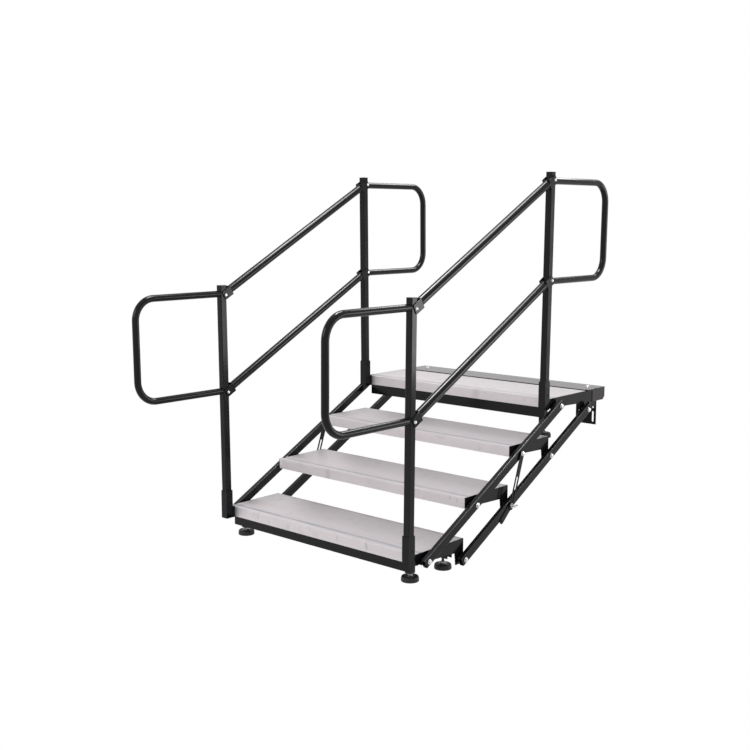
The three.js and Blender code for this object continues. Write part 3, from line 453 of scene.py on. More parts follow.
def mill_aluminium(name, colour):
    """Pressed aluminium: draw lines, painted shade greying the top towards the rear and right,
    painted shade in the grey-blue channel by the nose, a painted highlight on the nose, handling
    marks, and painted reflections of the posts on two fascias
    """
    finish = Finish.named(name)
    lines = finish.noise(1.0, 6.0, 0.7, finish.stretched((3.0, 900.0, 900.0)))
    broad = finish.noise(1.0, 3.0, 0.5, finish.stretched((1.2, 34.0, 34.0)))
    smudge = finish.noise(7.0, 5.0, 0.6)
    grain = finish.noise(40.0, 3.0, 0.6)
    flecks = finish.ramp(finish.noise(19.0, 4.0, 0.6), 0.55, 0.78)
    place = finish.carried("tread_place", "Vector")
    across, along = finish.along("X", place), finish.along("Y", place)
    on_top = finish.along("Z", place) > -TOP_BAND
    tone = finish.mix(finish.ramp(broad, 0.3, 0.7), shade(colour, 0.96), shade(colour, 1.03))
    tone = finish.mix(finish.ramp(smudge, 0.35, 0.75) * 0.35, tone, shade(colour, 0.84))
    # Painted shade: the top greyer towards the rear, and on top towards the right
    rear = finish.ramp(along, *REAR_SHADE)
    right = finish.ramp(across, *RIGHT_SHADE) * on_top
    tone = finish.mix(rear * 0.4 + right * 0.45, tone, SHADE_GREY)
    front, back = CHANNEL_SPAN
    # Painted shade in the shallow channel behind the nose, a grey-blue line
    channel = (finish.ramp(along, front - 1 * MM, front + 3 * MM)
               * finish.ramp(along, back, back - 5 * MM))
    channel = channel * on_top * finish.ramp(smudge, 0.7, 0.4, 0.45, 1.0)
    tone = finish.mix(channel, tone, CHANNEL_SHADE)
    # Painted highlight along the rounded nose
    nose = finish.ramp(along, *NOSE_HIGHLIGHT) * on_top
    tone = finish.mix(nose * 0.3, tone, shade(colour, 1.1))
    # Handling marks, flecks, and painted reflections of the posts on the fascias
    marks = flecks * 0.22
    for index, x, z, radius, strength in MARKS_AND_POST_REFLECTIONS:
        y, top = level(index)
        patch = finish.spot((x * MM, y, top + z * MM), radius * MM)
        marks = marks + patch * finish.ramp(grain, 0.3, 0.6, 0.55, 1.0) * strength
    tone = finish.mix(marks.clamp(), tone, MARK_AND_REFLECTION_TONE)
    rough = finish.ramp(lines, 0.25, 0.75, 0.36, 0.5) + flecks * 0.08
    return finish.surface(Base_Color=tone, Metallic=0.3, Roughness=rough,
                          Normal=finish.bump(lines, 0.08, 0.3 * MM))


def zinc_plate(name, colour):
    """Bright zinc with faint crystal tone"""
    finish = Finish.named(name)
    crystal = finish.noise(160.0, 3.0, 0.6)
    tone = finish.mix(finish.ramp(crystal, 0.35, 0.65), shade(colour, 0.8), colour)
    return finish.surface(Base_Color=tone, Metallic=0.9,
                          Roughness=finish.ramp(crystal, 0.3, 0.7, 0.22, 0.36),
                          Normal=finish.bump(finish.noise(700.0), 0.06, 0.2 * MM))


def pad_rubber(name, colour):
    """Moulded rubber with a fine grain"""
    finish = Finish.named(name)
    grain = finish.noise(900.0, 3.0)
    scuff = finish.ramp(finish.noise(60.0, 5.0, 0.7), 0.5, 0.75)
    tone = finish.mix(scuff * 0.5, colour, shade(colour, 2.6))
    return finish.surface(Base_Color=tone, Roughness=0.45 + scuff * 0.2, Specular_IOR_Level=0.3,
                          Normal=finish.bump(grain, 0.25, 0.3 * MM))


def hook_paint(name, colour):
    """Dark brown gloss paint with rolled streaks, a painted highlight on its upper outer corners,
    darker ends and a dull front edge
    """
    finish = Finish.named(name)
    streak = finish.noise(1.0, 5.0, 0.6, finish.stretched((4.0, 120.0, 120.0)))
    tone = finish.mix(finish.ramp(streak, 0.3, 0.7), shade(colour, 0.8), shade(colour, 1.2))
    # Painted highlight along the marked upper outer corners of the hook bar
    rubbed_highlight = finish.carried("rubbed_highlight", "Fac") * finish.ramp(finish.noise(70.0), 0.4, 0.6)
    tone = finish.mix(rubbed_highlight * 0.4, tone, RUBBED_HIGHLIGHT_TONE)
    tone = finish.mix(finish.along("X") > HOOK_END, tone, shade(colour, 0.45))
    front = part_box("hook_bar")[0].y
    dull = finish.ramp(finish.along("Y"), *(front + depth for depth in HOOK_DULL))
    rough = finish.ramp(streak, 0.3, 0.7, 0.16, 0.26) + dull * 0.6
    return finish.surface(Base_Color=tone, Specular_IOR_Level=0.3, Roughness=rough,
                          Normal=finish.bump(finish.noise(500.0), 0.08, 0.3 * MM))


def hole_shade_oxide(name):
    """Oiled black screw with a dark socket, near-black and barely glossy so that it paints the
    shade of the hole it sits in
    """
    finish = Finish.named(name)
    grain = finish.noise(600.0, 3.0)
    tone = finish.mix(finish.ramp(grain, 0.4, 0.7), HOLE_SHADE_DARK, HOLE_SHADE_LIGHT)
    return finish.surface(Base_Color=tone, Roughness=0.6, Specular_IOR_Level=0.05,
                          Normal=finish.bump(grain, 0.1, 0.2 * MM))


# Finishes by name, and the record's slot of those that share one
FINISHES = {}


def build_finishes(colours):
    """Makes every finish from the colours of the panel"""
    FINISHES["black_powder"] = powder_coat("powder_coat", tuple(colours.powder))
    FINISHES["mill_aluminium"] = mill_aluminium("mill_aluminium", tuple(colours.silver))
    FINISHES["zinc_plate"] = zinc_plate("zinc_plate", tuple(colours.zinc))
    FINISHES["black_rubber"] = pad_rubber("pad_rubber", tuple(colours.rubber))
    FINISHES["hook_plate"] = hook_paint("hook_paint", tuple(colours.hook))
    FINISHES["hole_shade_oxide"] = hole_shade_oxide("hole_shade_oxide")
    FINISHES["dull_zinc"] = zinc_plate("dull_zinc", shade(tuple(colours.zinc), 0.35))


def pivot(place, index):
    """Centre of a link pivot in the side view"""
    return (FRONT_Y + index * GOING + place[0], BASE_Z + index * RISE + place[1])


def reach(node):
    """Nearest and furthest distance of a solid from the stair's middle plane"""
    low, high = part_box(node)
    return sorted((abs(low.x), abs(high.x)))


def coated():
    """The powder-coated pieces, which the softboxes show in their gloss"""
    return bpy.data.collections.get("coated") or bpy.data.collections.new("coated")


def mesh_of(name, bm):
    """Turns a bmesh into a mesh and lets it go"""
    mesh = bpy.data.meshes.new(name)
    bm.to_mesh(mesh)
    bm.free()
    return mesh


def put(name, data):
    """A new object in the scene"""
    made = bpy.data.objects.new(name, data)
    bpy.context.scene.collection.objects.link(made)
    return made


def keep_piece(name, bm, body, slot, nodes=(), flats=False):
    """Turns a bmesh into a finished piece that rides on a body, its flats left flat"""
    smooth = [face.smooth or not flats for face in bm.faces]
    mesh = mesh_of(name, bm)
    mesh.set_sharp_from_angle(angle=SHADE_ANGLE)
    mesh.polygons.foreach_set("use_smooth", smooth)
    mesh.materials.append(FINISHES[slot])
    piece = put(name, mesh)
    if slot == "black_powder":
        coated().objects.link(piece)
    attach(piece, body)
    if nodes:
        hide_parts(*nodes)


def move(bm, matrix):
    """Carries a whole bmesh by a matrix"""
    bmesh.ops.transform(bm, matrix=matrix, verts=bm.verts[:])


def keep_turned(name, bm, turn, body, node, flats=False):
    """Turns a coated part of a solid into place and keeps it"""
    move(bm, turn)
    keep_piece(name, bm, body, "black_powder", (node,), flats=flats)


def bevel(bm, edges, width, segments=2):
    """Rounds edges, and marks the new faces to be shaded smooth"""
    made = bmesh.ops.bevel(bm, geom=list(edges), offset=width, offset_type="OFFSET",
                           segments=segments, profile=0.5, affect="EDGES", clamp_overlap=True,
                           material=-1)
    for face in made["faces"]:
        face.smooth = True
    return made["faces"]


def sharp_edges(bm, angle=EDGE_ANGLE):
    """Edges between faces that turn more than an angle"""
    return [e for e in bm.edges if len(e.link_faces) == 2 and e.calc_face_angle(0.0) > angle]


def edges_along(bm, axis, least):
    """Edges that reach further than a length along an axis"""
    return [e for e in bm.edges if abs(e.verts[0].co[axis] - e.verts[1].co[axis]) > least]


def verts_in(geom):
    """The vertices among the parts of a mesh"""
    return [item for item in geom if isinstance(item, BMVert)]


def add_box(bm, low, high):
    """Closed box between two corners"""
    low, high = Vector(low), Vector(high)
    size = Matrix.Diagonal((*(high - low), 1.0))
    bmesh.ops.create_cube(bm, size=1.0, matrix=Matrix.Translation((low + high) / 2) @ size)


def add_rod(bm, start, end, radius, steps):
    """Closed round or many-sided bar between two points"""
    start, end = Vector(start), Vector(end)
    turn = (end - start).to_track_quat("Z", "Y").to_matrix().to_4x4()
    made = bmesh.ops.create_cone(
        bm, cap_ends=True, cap_tris=False, segments=steps, radius1=radius, radius2=radius,
        depth=(end - start).length, matrix=Matrix.Translation((start + end) / 2) @ turn)
    return made["verts"]


def add_hex(bm, start, end, flats, chamfer):
    """Hexagon bar with a chamfered outer end"""
    verts = add_rod(bm, start, end, flats / 2 / math.cos(math.pi / 6), 6)
    near, far = Vector(start), Vector(end)
    rim = [e for e in {e for v in verts for e in v.link_edges}
           if all((v.co - far).length < (v.co - near).length for v in e.verts)]
    bevel(bm, rim, chamfer)


def extrude(bm, outline, way):
    """A solid drawn from an outline along a vector"""
    face = bm.faces.new([bm.verts.new(point) for point in outline])
    made = bmesh.ops.extrude_face_region(bm, geom=[face], use_keep_orig=True)
    bmesh.ops.translate(bm, verts=verts_in(made["geom"]), vec=way)


def millimetres(profile):
    """Points of a profile that is given in millimetres"""
    return [(radius * MM, height * MM) for radius, height in profile]


def lathe(bm, profile, centre, axis, steps):
    """Spins (radius, height) points round an axis through a centre"""
    axis = Vector(axis)
    turn = axis.to_track_quat("Z", "Y").to_matrix()
    verts = [bm.verts.new(Vector(centre) + turn @ Vector((radius, 0.0, height)))
             for radius, height in profile]
    edges = [bm.edges.new(pair) for pair in zip(verts, verts[1:])]
    bmesh.ops.spin(bm, geom=verts + edges, cent=centre, axis=axis, dvec=(0, 0, 0),
                   angle=math.tau, steps=steps, use_merge=True, use_duplicate=False)
    bmesh.ops.remove_doubles(bm, verts=bm.verts[:], dist=CLOSE)


def outward(bm):
    """Turns all faces outwards"""
    bmesh.ops.recalc_face_normals(bm, faces=bm.faces[:])


def keep_bolt(node, bm, body, side=1):
    """Keeps zinc work, built for the right and carried over when it is for the left"""
    outward(bm)
    if side < 0:
        move(bm, Matrix.Diagonal((-1, 1, 1, 1)))
        outward(bm)
    keep_piece(f"{node}_finished", bm, body, "zinc_plate", (node,))


def rub_highlight(faces, layer, most):
    """Marks the rounded edges that face up and out for a painted highlight, and the other rounded
    edges faintly
    """
    for face in faces:
        upper = face.normal.z > 0.2 and abs(face.normal.x) > 0.3
        for loop in face.loops:
            loop[layer] = most if upper else 0.15 * most


def rounded_copy(node, body, slot, width, highlight_wear=0.2, corner=None):
    """A copy of a solid, merged, with its edges rounded and long corners rounded more"""
    bm = bmesh.new()
    bm.from_mesh(frame["nodes"][node].data)
    # Share of the painted highlight on each rounded corner
    layer = bm.loops.layers.float.new("rubbed_highlight")
    for face in bm.faces:
        face.smooth = False
    bmesh.ops.remove_doubles(bm, verts=bm.verts[:], dist=NEAR)
    bmesh.ops.dissolve_limit(bm, angle_limit=FLAT_ANGLE, verts=bm.verts[:], edges=bm.edges[:],
                             use_dissolve_boundaries=False)
    if corner:
        long_edges = [e for e in sharp_edges(bm) if e.calc_length() > LONG_EDGE]
        bm.normal_update()
        faces = bevel(bm, long_edges, corner, 4)
        bm.normal_update()
        # The long corners that face up and out carry the painted highlight at full strength
        rub_highlight(faces, layer, highlight_wear)
    faces = bevel(bm, sharp_edges(bm), width)
    bm.normal_update()
    rub_highlight(faces, layer, 0.2 * highlight_wear)
    keep_piece(f"{node}_finished", bm, body, slot, (node,), flats=True)


class StairOperator(Operator):
    """Common settings of the stair's operators"""
    bl_options = {"REGISTER", "UNDO"}

    @property
    def sizes(self):
        return bpy.context.scene.stair_sizes

    @property
    def colours(self):
        return bpy.context.scene.stair_colours


class STAIR_OT_finishes(StairOperator):
    """Makes the finishes and puts them on the carried solids"""
    bl_idname = "stair.finishes"
    bl_label = "Finishes"

    def execute(self, context):
        build_finishes(self.colours)
        slots = {part["node"]: part["material_slot"] for part in frame["record"]["subparts"]}
        for node, solid in frame["nodes"].items():
            solid.data.materials.clear()
            solid.data.materials.append(FINISHES[slots[node]])
        return {"FINISHED"}


class STAIR_OT_steelwork(StairOperator):
    """Rounds the edges of frames, links, braces, brackets and the hook bar"""
    bl_idname = "stair.steelwork"
    bl_label = "Steelwork"

    def execute(self, context):
        width = self.sizes.edge
        for body in TREAD_BODIES:
            rounded_copy(f"{body}_frame", body, "black_powder", width)
        for word, _ in SIDES:
            # Strength of the painted highlight on each link's corners
            for link, highlight_wear in (("front_link", 0.5), ("rear_link", 0.2)):
                node = f"{link}_{word}"
                rounded_copy(node, node, "black_powder", 0.8 * width, highlight_wear,
                             self.sizes.link_corner)
            for part, body, share in (("brace_bar", f"brace_bar_{word}", 0.5),
                                      ("brace_tail", f"brace_clamp_{word}", 0.5),
                                      ("stage_bracket", "platform", 0.6)):
                rounded_copy(f"{part}_{word}", body, "black_powder", share * width)
        rounded_copy("hook_bar", "platform", "hook_plate", 0.8 * width)
        return {"FINISHED"}


def tread_outline(deep, tall):
    """Profile of the pressed tread: skin with a shallow channel, fascia with its lip, and ribs"""
    turns = [math.radians(90 - 90 / NOSE_STEPS * step) for step in range(NOSE_STEPS + 1)]
    points = [(NOSE - NOSE * math.cos(turn), -NOSE + NOSE * math.sin(turn)) for turn in turns]
    points += [(0, -tall + LIP_BREAK), (LIP_BREAK, -tall), (LIP, -tall), (LIP, -tall + WALL),
               (WALL, -tall + WALL), (WALL, -SKIN)]
    for y in RIB_PLACES:
        points += [(y, -SKIN), (y, -RIB_TALL), (y + WALL, -RIB_TALL), (y + WALL, -SKIN)]
    points += [(deep - WALL, -SKIN), (deep - WALL, -REAR_TALL), (deep, -REAR_TALL),
               (deep, -REAR_BREAK), (deep - REAR_CORNER, -REAR_CORNER), (deep - REAR_BREAK, 0)]
    front, back = CHANNEL_SPAN
    return points + [(back, 0), (back - CHANNEL_DEEP, -CHANNEL_DEEP),
                     (front + CHANNEL_DEEP, -CHANNEL_DEEP), (front, 0)]


class STAIR_OT_treads(StairOperator):
    """Builds the pressed aluminium treads"""
    bl_idname = "stair.treads"
    bl_label = "Treads"

    def execute(self, context):
        for node, body in zip(TREADS, TREAD_BODIES):
            low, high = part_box(node)
            bm = bmesh.new()
            place = bm.verts.layers.float_vector.new("tread_place")
            outline = tread_outline(high.y - low.y, high.z - low.z)
            extrude(bm, [(low.x, low.y + y, high.z + z) for y, z in outline],
                    (high.x - low.x, 0, 0))
            outward(bm)
            for vert in bm.verts:
                vert[place] = vert.co - Vector((0, low.y, high.z))
            keep_piece(f"{node}_plank", bm, body, "mill_aluminium", (node,), flats=True)
        return {"FINISHED"}


def pull(bm, ring, way):
    """Draws a ring of edges out along a vector"""
    edges = [g for g in ring if isinstance(g, BMEdge)]
    made = bmesh.ops.extrude_edge_only(bm, edges=edges)["geom"]
    verts = verts_in(made)
    bmesh.ops.translate(bm, verts=verts, vec=way)
    chosen = set(verts)
    return verts + [g for g in made if isinstance(g, BMEdge) and set(g.verts) <= chosen]


def bend(bm, ring, centre, angle):
    """Carries a ring of edges round a bend"""
    made = bmesh.ops.spin(bm, geom=ring, cent=centre, axis=(1, 0, 0), dvec=(0, 0, 0), angle=angle,
                          steps=BEND_STEPS, use_merge=False, use_duplicate=False)
    return [g for g in made["geom_last"] if isinstance(g, (BMVert, BMEdge))]


def loop_tube(bm, x, post_y, heading, low, high, radius, steps):
    """End loop: out from the post, round two bends and back to it"""
    start = post_y + heading * POST_HALF
    straight = LOOP_REACH - LOOP_BEND - POST_HALF
    turn = Matrix.Translation((x, start, high)) @ Matrix.Rotation(math.pi / 2, 4, "X")
    made = bmesh.ops.create_circle(bm, cap_ends=False, radius=radius, segments=steps, matrix=turn)
    verts = made["verts"]
    ring = verts + list({e for v in verts for e in v.link_edges})
    ring = pull(bm, ring, (0, heading * straight, 0))
    corner = post_y + heading * (LOOP_REACH - LOOP_BEND)
    quarter = -heading * math.pi / 2
    ring = bend(bm, ring, (x, corner, high - LOOP_BEND), quarter)
    ring = pull(bm, ring, (0, 0, -(high - low - 2 * LOOP_BEND)))
    ring = bend(bm, ring, (x, corner, low + LOOP_BEND), quarter)
    pull(bm, ring, (0, -heading * straight, 0))
    bmesh.ops.remove_doubles(bm, verts=bm.verts[:], dist=CLOSE)
    outward(bm)


def weld_ring(bm, centre, axis, radius, size, steps):
    """Small bead round a tube where it meets a plate"""
    lathe(bm, [(radius + out * size, up * size) for out, up in WELD_SHARES], centre, axis, steps)


def lean_at(height):
    """How far a post has leant outwards at a height above the tread"""
    return math.tan(POST_LEAN) * (height - LEAN_LEVEL)


def leaning(x, z):
    """Turn that leans an upright piece outwards from its sleeve"""
    foot = Matrix.Translation((x, 0, z + LEAN_LEVEL))
    return foot @ Matrix.Rotation(math.copysign(POST_LEAN, x), 4, "Y") @ foot.inverted()


class STAIR_OT_posts(StairOperator):
    """Builds the posts with their end loops, caps and welds"""
    bl_idname = "stair.posts"
    bl_label = "Posts and loops"

    def execute(self, context):
        for word, side in SIDES:
            for name, index, heading in (("lower", 0, -1), ("upper", TOP, 1)):
                self.post(f"{name}_post_{word}", side * POST_X, index, heading)
        return {"FINISHED"}

    def post(self, node, x, index, heading):
        """Tube, cap, end loop and weld beads of one post"""
        y = FRONT_Y + index * GOING + POST_Y
        z = BASE_Z + index * RISE
        low, high = (z + RAIL_HEIGHTS[key] + LOOP_RISES[heading] for key in ("lower", "upper"))
        top = high + POST_RISE
        radius, steps = self.sizes.loop_radius, self.sizes.round_steps
        turn, body = leaning(x, z), TREAD_BODIES[index]
        keep_turned(f"{node}_tube", self.tube(x, y, z, top), turn, body, node, flats=True)
        keep_turned(f"{node}_cap", self.cap(x, y, top), turn, body, node, flats=True)
        loop = bmesh.new()
        loop_tube(loop, x, y, heading, low, high, radius, steps)
        keep_turned(f"{node}_loop", loop, turn, body, node)
        beads = bmesh.new()
        for height in (low, high):
            weld_ring(beads, Vector((x, y + heading * POST_HALF, height)), (0, heading, 0),
                      radius, LOOP_WELD, steps)
        outward(beads)
        keep_turned(f"{node}_welds", beads, turn, body, node)

    def tube(self, x, y, z, top):
        """Square tube with rounded corners, hollow at its foot"""
        bm = bmesh.new()
        half = POST_HALF
        add_box(bm, (x - half, y - half, z + POST_SEAT), (x + half, y + half, top - CAP_COVER))
        bevel(bm, edges_along(bm, 2, half), self.sizes.tube_edge, 4)
        ends = [f for f in bm.faces if abs(f.normal.z) > 0.9 and f.calc_center_median().z < z]
        bmesh.ops.inset_region(bm, faces=ends, thickness=POST_WALL, use_even_offset=True)
        made = bmesh.ops.extrude_face_region(bm, geom=ends)
        bmesh.ops.delete(bm, geom=ends, context="FACES")
        bmesh.ops.translate(bm, verts=verts_in(made["geom"]), vec=(0, 0, HOLLOW_DEEP))
        outward(bm)
        return bm

    def cap(self, x, y, top):
        """Flat cap with rounded corners"""
        bm = bmesh.new()
        half = POST_HALF + CAP_PROUD
        add_box(bm, (x - half, y - half, top - CAP_TALL), (x + half, y + half, top))
        bevel(bm, edges_along(bm, 2, CAP_TALL / 2), self.sizes.tube_edge, 4)
        rim = [e for e in bm.edges if min(v.co.z for v in e.verts) > top - CAP_TALL / 2]
        bevel(bm, rim, CAP_EDGE)
        return bm


class STAIR_OT_handrails(StairOperator):
    """Builds the handrails with a clevis at each end"""
    bl_idname = "stair.handrails"
    bl_label = "Handrails"

    def execute(self, context):
        for word, side in SIDES:
            for name in ("upper", "lower"):
                height = RAIL_HEIGHTS[name]
                self.rail(f"{name}_rail_{word}", side * (POST_X + lean_at(height)), height)
        return {"FINISHED"}

    def rail(self, node, x, height):
        """Tube with weld beads and two clevises, turned to the stair's slope"""
        foot = Vector((x, FRONT_Y + POST_Y + RAIL_BACK, BASE_Z + height))
        turn = Matrix.Translation(foot) @ Matrix.Rotation(SLOPE, 4, "X")
        start, end = CLEVIS_REACH, PITCH * TOP - CLEVIS_REACH
        radius, steps = self.sizes.rail_radius, self.sizes.round_steps
        tube = bmesh.new()
        add_rod(tube, (0, start, 0), (0, end, 0), radius, steps)
        for y, way in ((start, 1), (end, -1)):
            weld_ring(tube, Vector((0, y, 0)), (0, way, 0), radius, RAIL_WELD, steps)
        outward(tube)
        keep_turned(f"{node}_tube", tube, turn, node, node)
        for word, y, way in (("foot", 0.0, 1), ("head", PITCH * TOP, -1)):
            bm = self.clevis()
            move(bm, Matrix.Translation((0, y, 0)) @ Matrix.Diagonal((1, way, 1, 1)))
            outward(bm)
            keep_turned(f"{node}_clevis_{word}", bm, turn, node, node, flats=True)

    def clevis(self):
        """Folded plate whose cheeks reach back past the pivot"""
        bm = bmesh.new()
        inner, outer = CLEVIS_HALF, CLEVIS_HALF + CLEVIS_THICK
        ahead, floor, tail = CLEVIS_REACH, CLEVIS_REACH - CLEVIS_THICK, -CLEVIS_TAIL
        plan = ((-outer, tail), (-inner, tail), (-inner, floor), (inner, floor), (inner, tail),
                (outer, tail), (outer, ahead), (-outer, ahead))
        extrude(bm, [(x, y, -CLEVIS_DEEP / 2) for x, y in plan], (0, 0, CLEVIS_DEEP))
        outward(bm)
        for axis, least, y, radius, segments in ((0, CLEVIS_THICK / 2, tail, CLEVIS_TIP, 4),
                                                 (2, CLEVIS_DEEP / 2, ahead, CLEVIS_FOLD, 3)):
            bevel(bm, [e for e in edges_along(bm, axis, least)
                       if all(abs(v.co.y - y) < NEAR for v in e.verts)], radius, segments)
        bevel(bm, sharp_edges(bm), CLEVIS_EDGE)
        return bm


def thread_profile(radius, start, end, pitch):
    """Rings of a screw thread from one height to another"""
    points = []
    height = start
    while height < end - pitch:
        points += [(radius, height), (radius - 0.6 * pitch, height + 0.5 * pitch)]
        height += pitch
    return points + [(radius, end - 0.5 * pitch), (radius - THREAD_POINT, end), (0, end)]


class STAIR_OT_bolts(StairOperator):
    """Builds the pivot bolts of the links and handrails"""
    bl_idname = "stair.bolts"
    bl_label = "Bolts"

    def execute(self, context):
        for word, side in SIDES:
            for index, body in enumerate(TREAD_BODIES):
                for name, place in (("front", FRONT_PIVOT), ("rear", REAR_PIVOT)):
                    node = f"{name}_bolt_{index + 1}_{word}"
                    self.link_bolt(node, body, side, pivot(place, index))
            for name, index in (("lower", 0), ("upper", TOP)):
                for key, height in (("top", "upper"), ("mid", "lower")):
                    node = f"rail_bolt_{key}_{name}_{word}"
                    self.rail_bolt(node, TREAD_BODIES[index], side, index, RAIL_HEIGHTS[height])
        return {"FINISHED"}

    def link_bolt(self, node, body, side, at):
        """Bolt with its nut and spacer, and washers and head outside the link"""
        near, far = reach(node)
        y, z = at
        bm = bmesh.new()
        add_rod(bm, (near - BOLT_TIP, y, z), (far - BOLT_END, y, z), BOLT_RADIUS, STEPS["bolt"])
        add_rod(bm, (PLATE_FACE + SPACER_PLAY, y, z), (LINK_INNER - SPACER_PLAY, y, z),
                SPACER_RADIUS, STEPS["spacer"])
        add_hex(bm, (near + NUT_TALL, y, z), (near, y, z), NUT_FLATS, NUT_CHAMFER)
        if far > LINK_FACE:
            seat = far - HEAD_SEAT
            for profile in (WASHER, SPRING_WASHER):
                lathe(bm, millimetres(profile), (seat, y, z), (1, 0, 0), STEPS["head"])
            add_hex(bm, (seat + HEAD_RISE, y, z), (far, y, z), HEAD_FLATS, HEAD_CHAMFER)
        keep_bolt(node, bm, body, side)

    def rail_bolt(self, node, body, side, index, height):
        """Bolt with a nut inside and a domed head outside"""
        near, far = reach(node)
        y = FRONT_Y + index * GOING + POST_Y + RAIL_BACK
        z = BASE_Z + index * RISE + height
        start, end = RAIL_NUT_SPAN
        bm = bmesh.new()
        add_rod(bm, (near, y, z), (far - BOLT_TIP, y, z), RAIL_BOLT_RADIUS, STEPS["bolt"])
        add_hex(bm, (near + start, y, z), (near + end, y, z), RAIL_NUT_FLATS, RAIL_NUT_CHAMFER)
        lathe(bm, millimetres(RAIL_HEAD), (far - RAIL_HEAD_TALL, y, z), (1, 0, 0), STEPS["head"])
        keep_bolt(node, bm, body, side)


class STAIR_OT_clamps(StairOperator):
    """Builds the wing nuts of the braces and the bolts of the hook bar"""
    bl_idname = "stair.clamps"
    bl_label = "Wing nuts and hook bolts"

    def execute(self, context):
        for word, side in SIDES:
            self.wing_nut(word, side)
            self.hook_bolt(word)
        return {"FINISHED"}

    def wing_nut(self, word, side):
        """Threaded stud with a hub and two wings"""
        node = f"wing_nut_{word}"
        y, z = pivot(REAR_PIVOT, 1)
        bm = bmesh.new()
        stud = [(0, 0)] + thread_profile(STUD_RADIUS, 0.0, STUD_LENGTH, STUD_PITCH)
        lathe(bm, stud, (reach(node)[0], y, z), (1, 0, 0), STEPS["thread"])
        lathe(bm, millimetres(NUT_HUB), (BRACE_FACE, y, z), (1, 0, 0), STEPS["head"])
        for way in (-1, 1):
            wing = self.wing()
            move(wing, Matrix.Translation((0, y, z)) @ Matrix.Diagonal((1, way, 1, 1)))
            part = mesh_of("wing", wing)
            bm.from_mesh(part)
            bpy.data.meshes.remove(part)
        keep_bolt(node, bm, f"brace_clamp_{word}", side)

    def wing(self):
        """One rounded wing, leaning out from the hub"""
        long, tall, thick = WING_SIZE
        bm = bmesh.new()
        add_box(bm, (0, 0, -thick / 2), (long, tall, thick / 2))
        tips = [e for e in edges_along(bm, 2, thick / 2) if e.verts[0].co.y > tall / 2]
        bevel(bm, tips, WING_TIP, 5)
        bevel(bm, sharp_edges(bm, WING_ANGLE), WING_EDGE)
        foot = Matrix.Translation((BRACE_FACE + WING_FOOT[0], WING_FOOT[1], 0))
        move(bm, foot @ Matrix.Rotation(WING_LEAN, 4, "Z"))
        return bm

    def hook_bolt(self, word):
        """Upright bolt with a button head and its nut below"""
        node = f"hook_bolt_{word}"
        low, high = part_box(node)
        x, y, _ = (low + high) / 2
        seat = high.z - HOOK_HEAD_TALL
        start, end = HOOK_NUT_SPAN
        bm = bmesh.new()
        lathe(bm, millimetres(HOOK_HEAD), (x, y, seat), (0, 0, 1), STEPS["dome"])
        add_rod(bm, (x, y, low.z + 1 * MM), (x, y, seat + 1 * MM), HOOK_BOLT_RADIUS,
                STEPS["thread"])
        add_hex(bm, (x, y, low.z + start), (x, y, low.z + end), HOOK_NUT_FLATS, 1 * MM)
        keep_bolt(node, bm, "platform")


class STAIR_OT_feet(StairOperator):
    """Builds the levelling feet"""
    bl_idname = "stair.feet"
    bl_label = "Levelling feet"

    def execute(self, context):
        for place in ("front_left", "front_right", "rear_left", "rear_right", "platform"):
            self.foot(f"foot_{place}")
        return {"FINISHED"}

    def foot(self, node):
        """Rubber pad, and a washer, nut and threaded stem on it"""
        low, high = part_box(node)
        centre = Vector(((low.x + high.x) / 2, (low.y + high.y) / 2, low.z))
        radius = self.sizes.pad_radius
        side = [(radius - inset, height) for inset, height in millimetres(PAD_SIDE)]
        pad = bmesh.new()
        lathe(pad, [(0, 0), *side, (PAD_DISH_RADIUS, PAD_DISH_HEIGHT), (0, PAD_DISH_HEIGHT)],
              centre, (0, 0, 1), STEPS["pad"])
        outward(pad)
        keep_piece(f"{node}_pad", pad, node, "black_rubber", (node,))
        metal = bmesh.new()
        lathe(metal, millimetres(FOOT_WASHER), centre, (0, 0, 1), STEPS["dome"])
        start, end = (centre + Vector((0, 0, height)) for height in FOOT_NUT_SPAN)
        add_hex(metal, start, end, FOOT_NUT_FLATS, FOOT_NUT_CHAMFER)
        lathe(metal, thread_profile(STEM_RADIUS, STEM_START, high.z - low.z, STEM_PITCH), centre,
              (0, 0, 1), STEPS["thread"])
        outward(metal)
        keep_piece(f"{node}_stem", metal, node, "dull_zinc", (node,))


class STAIR_OT_small_screws(StairOperator):
    """Adds the set screws of the sleeves and one screw in the base's side plate"""
    bl_idname = "stair.small_screws"
    bl_label = "Small screws"

    def execute(self, context):
        for word, side in SIDES:
            for index in (0, TOP):
                y, z = level(index)
                self.screw(f"sleeve_screw_{index + 1}_{word}", TREAD_BODIES[index],
                           (side * POST_X + SLEEVE_HALF, y + POST_Y, z + SLEEVE_SCREW_UP),
                           SLEEVE_SCREW_RADIUS)
        y, z = level(0)
        self.screw("side_screw", "base", (PLATE_FACE, y + SIDE_SCREW[0], z + SIDE_SCREW[1]),
                   SIDE_SCREW_RADIUS)
        return {"FINISHED"}

    def screw(self, name, body, at, radius):
        """Round screw head with a socket, facing right"""
        bm = bmesh.new()
        lathe(bm, [(share * radius, depth * MM) for share, depth in SCREW_HEAD], at, (1, 0, 0),
              STEPS["thread"])
        outward(bm)
        # Its near-black finish paints the shade of the hole
        keep_piece(name, bm, body, "hole_shade_oxide")


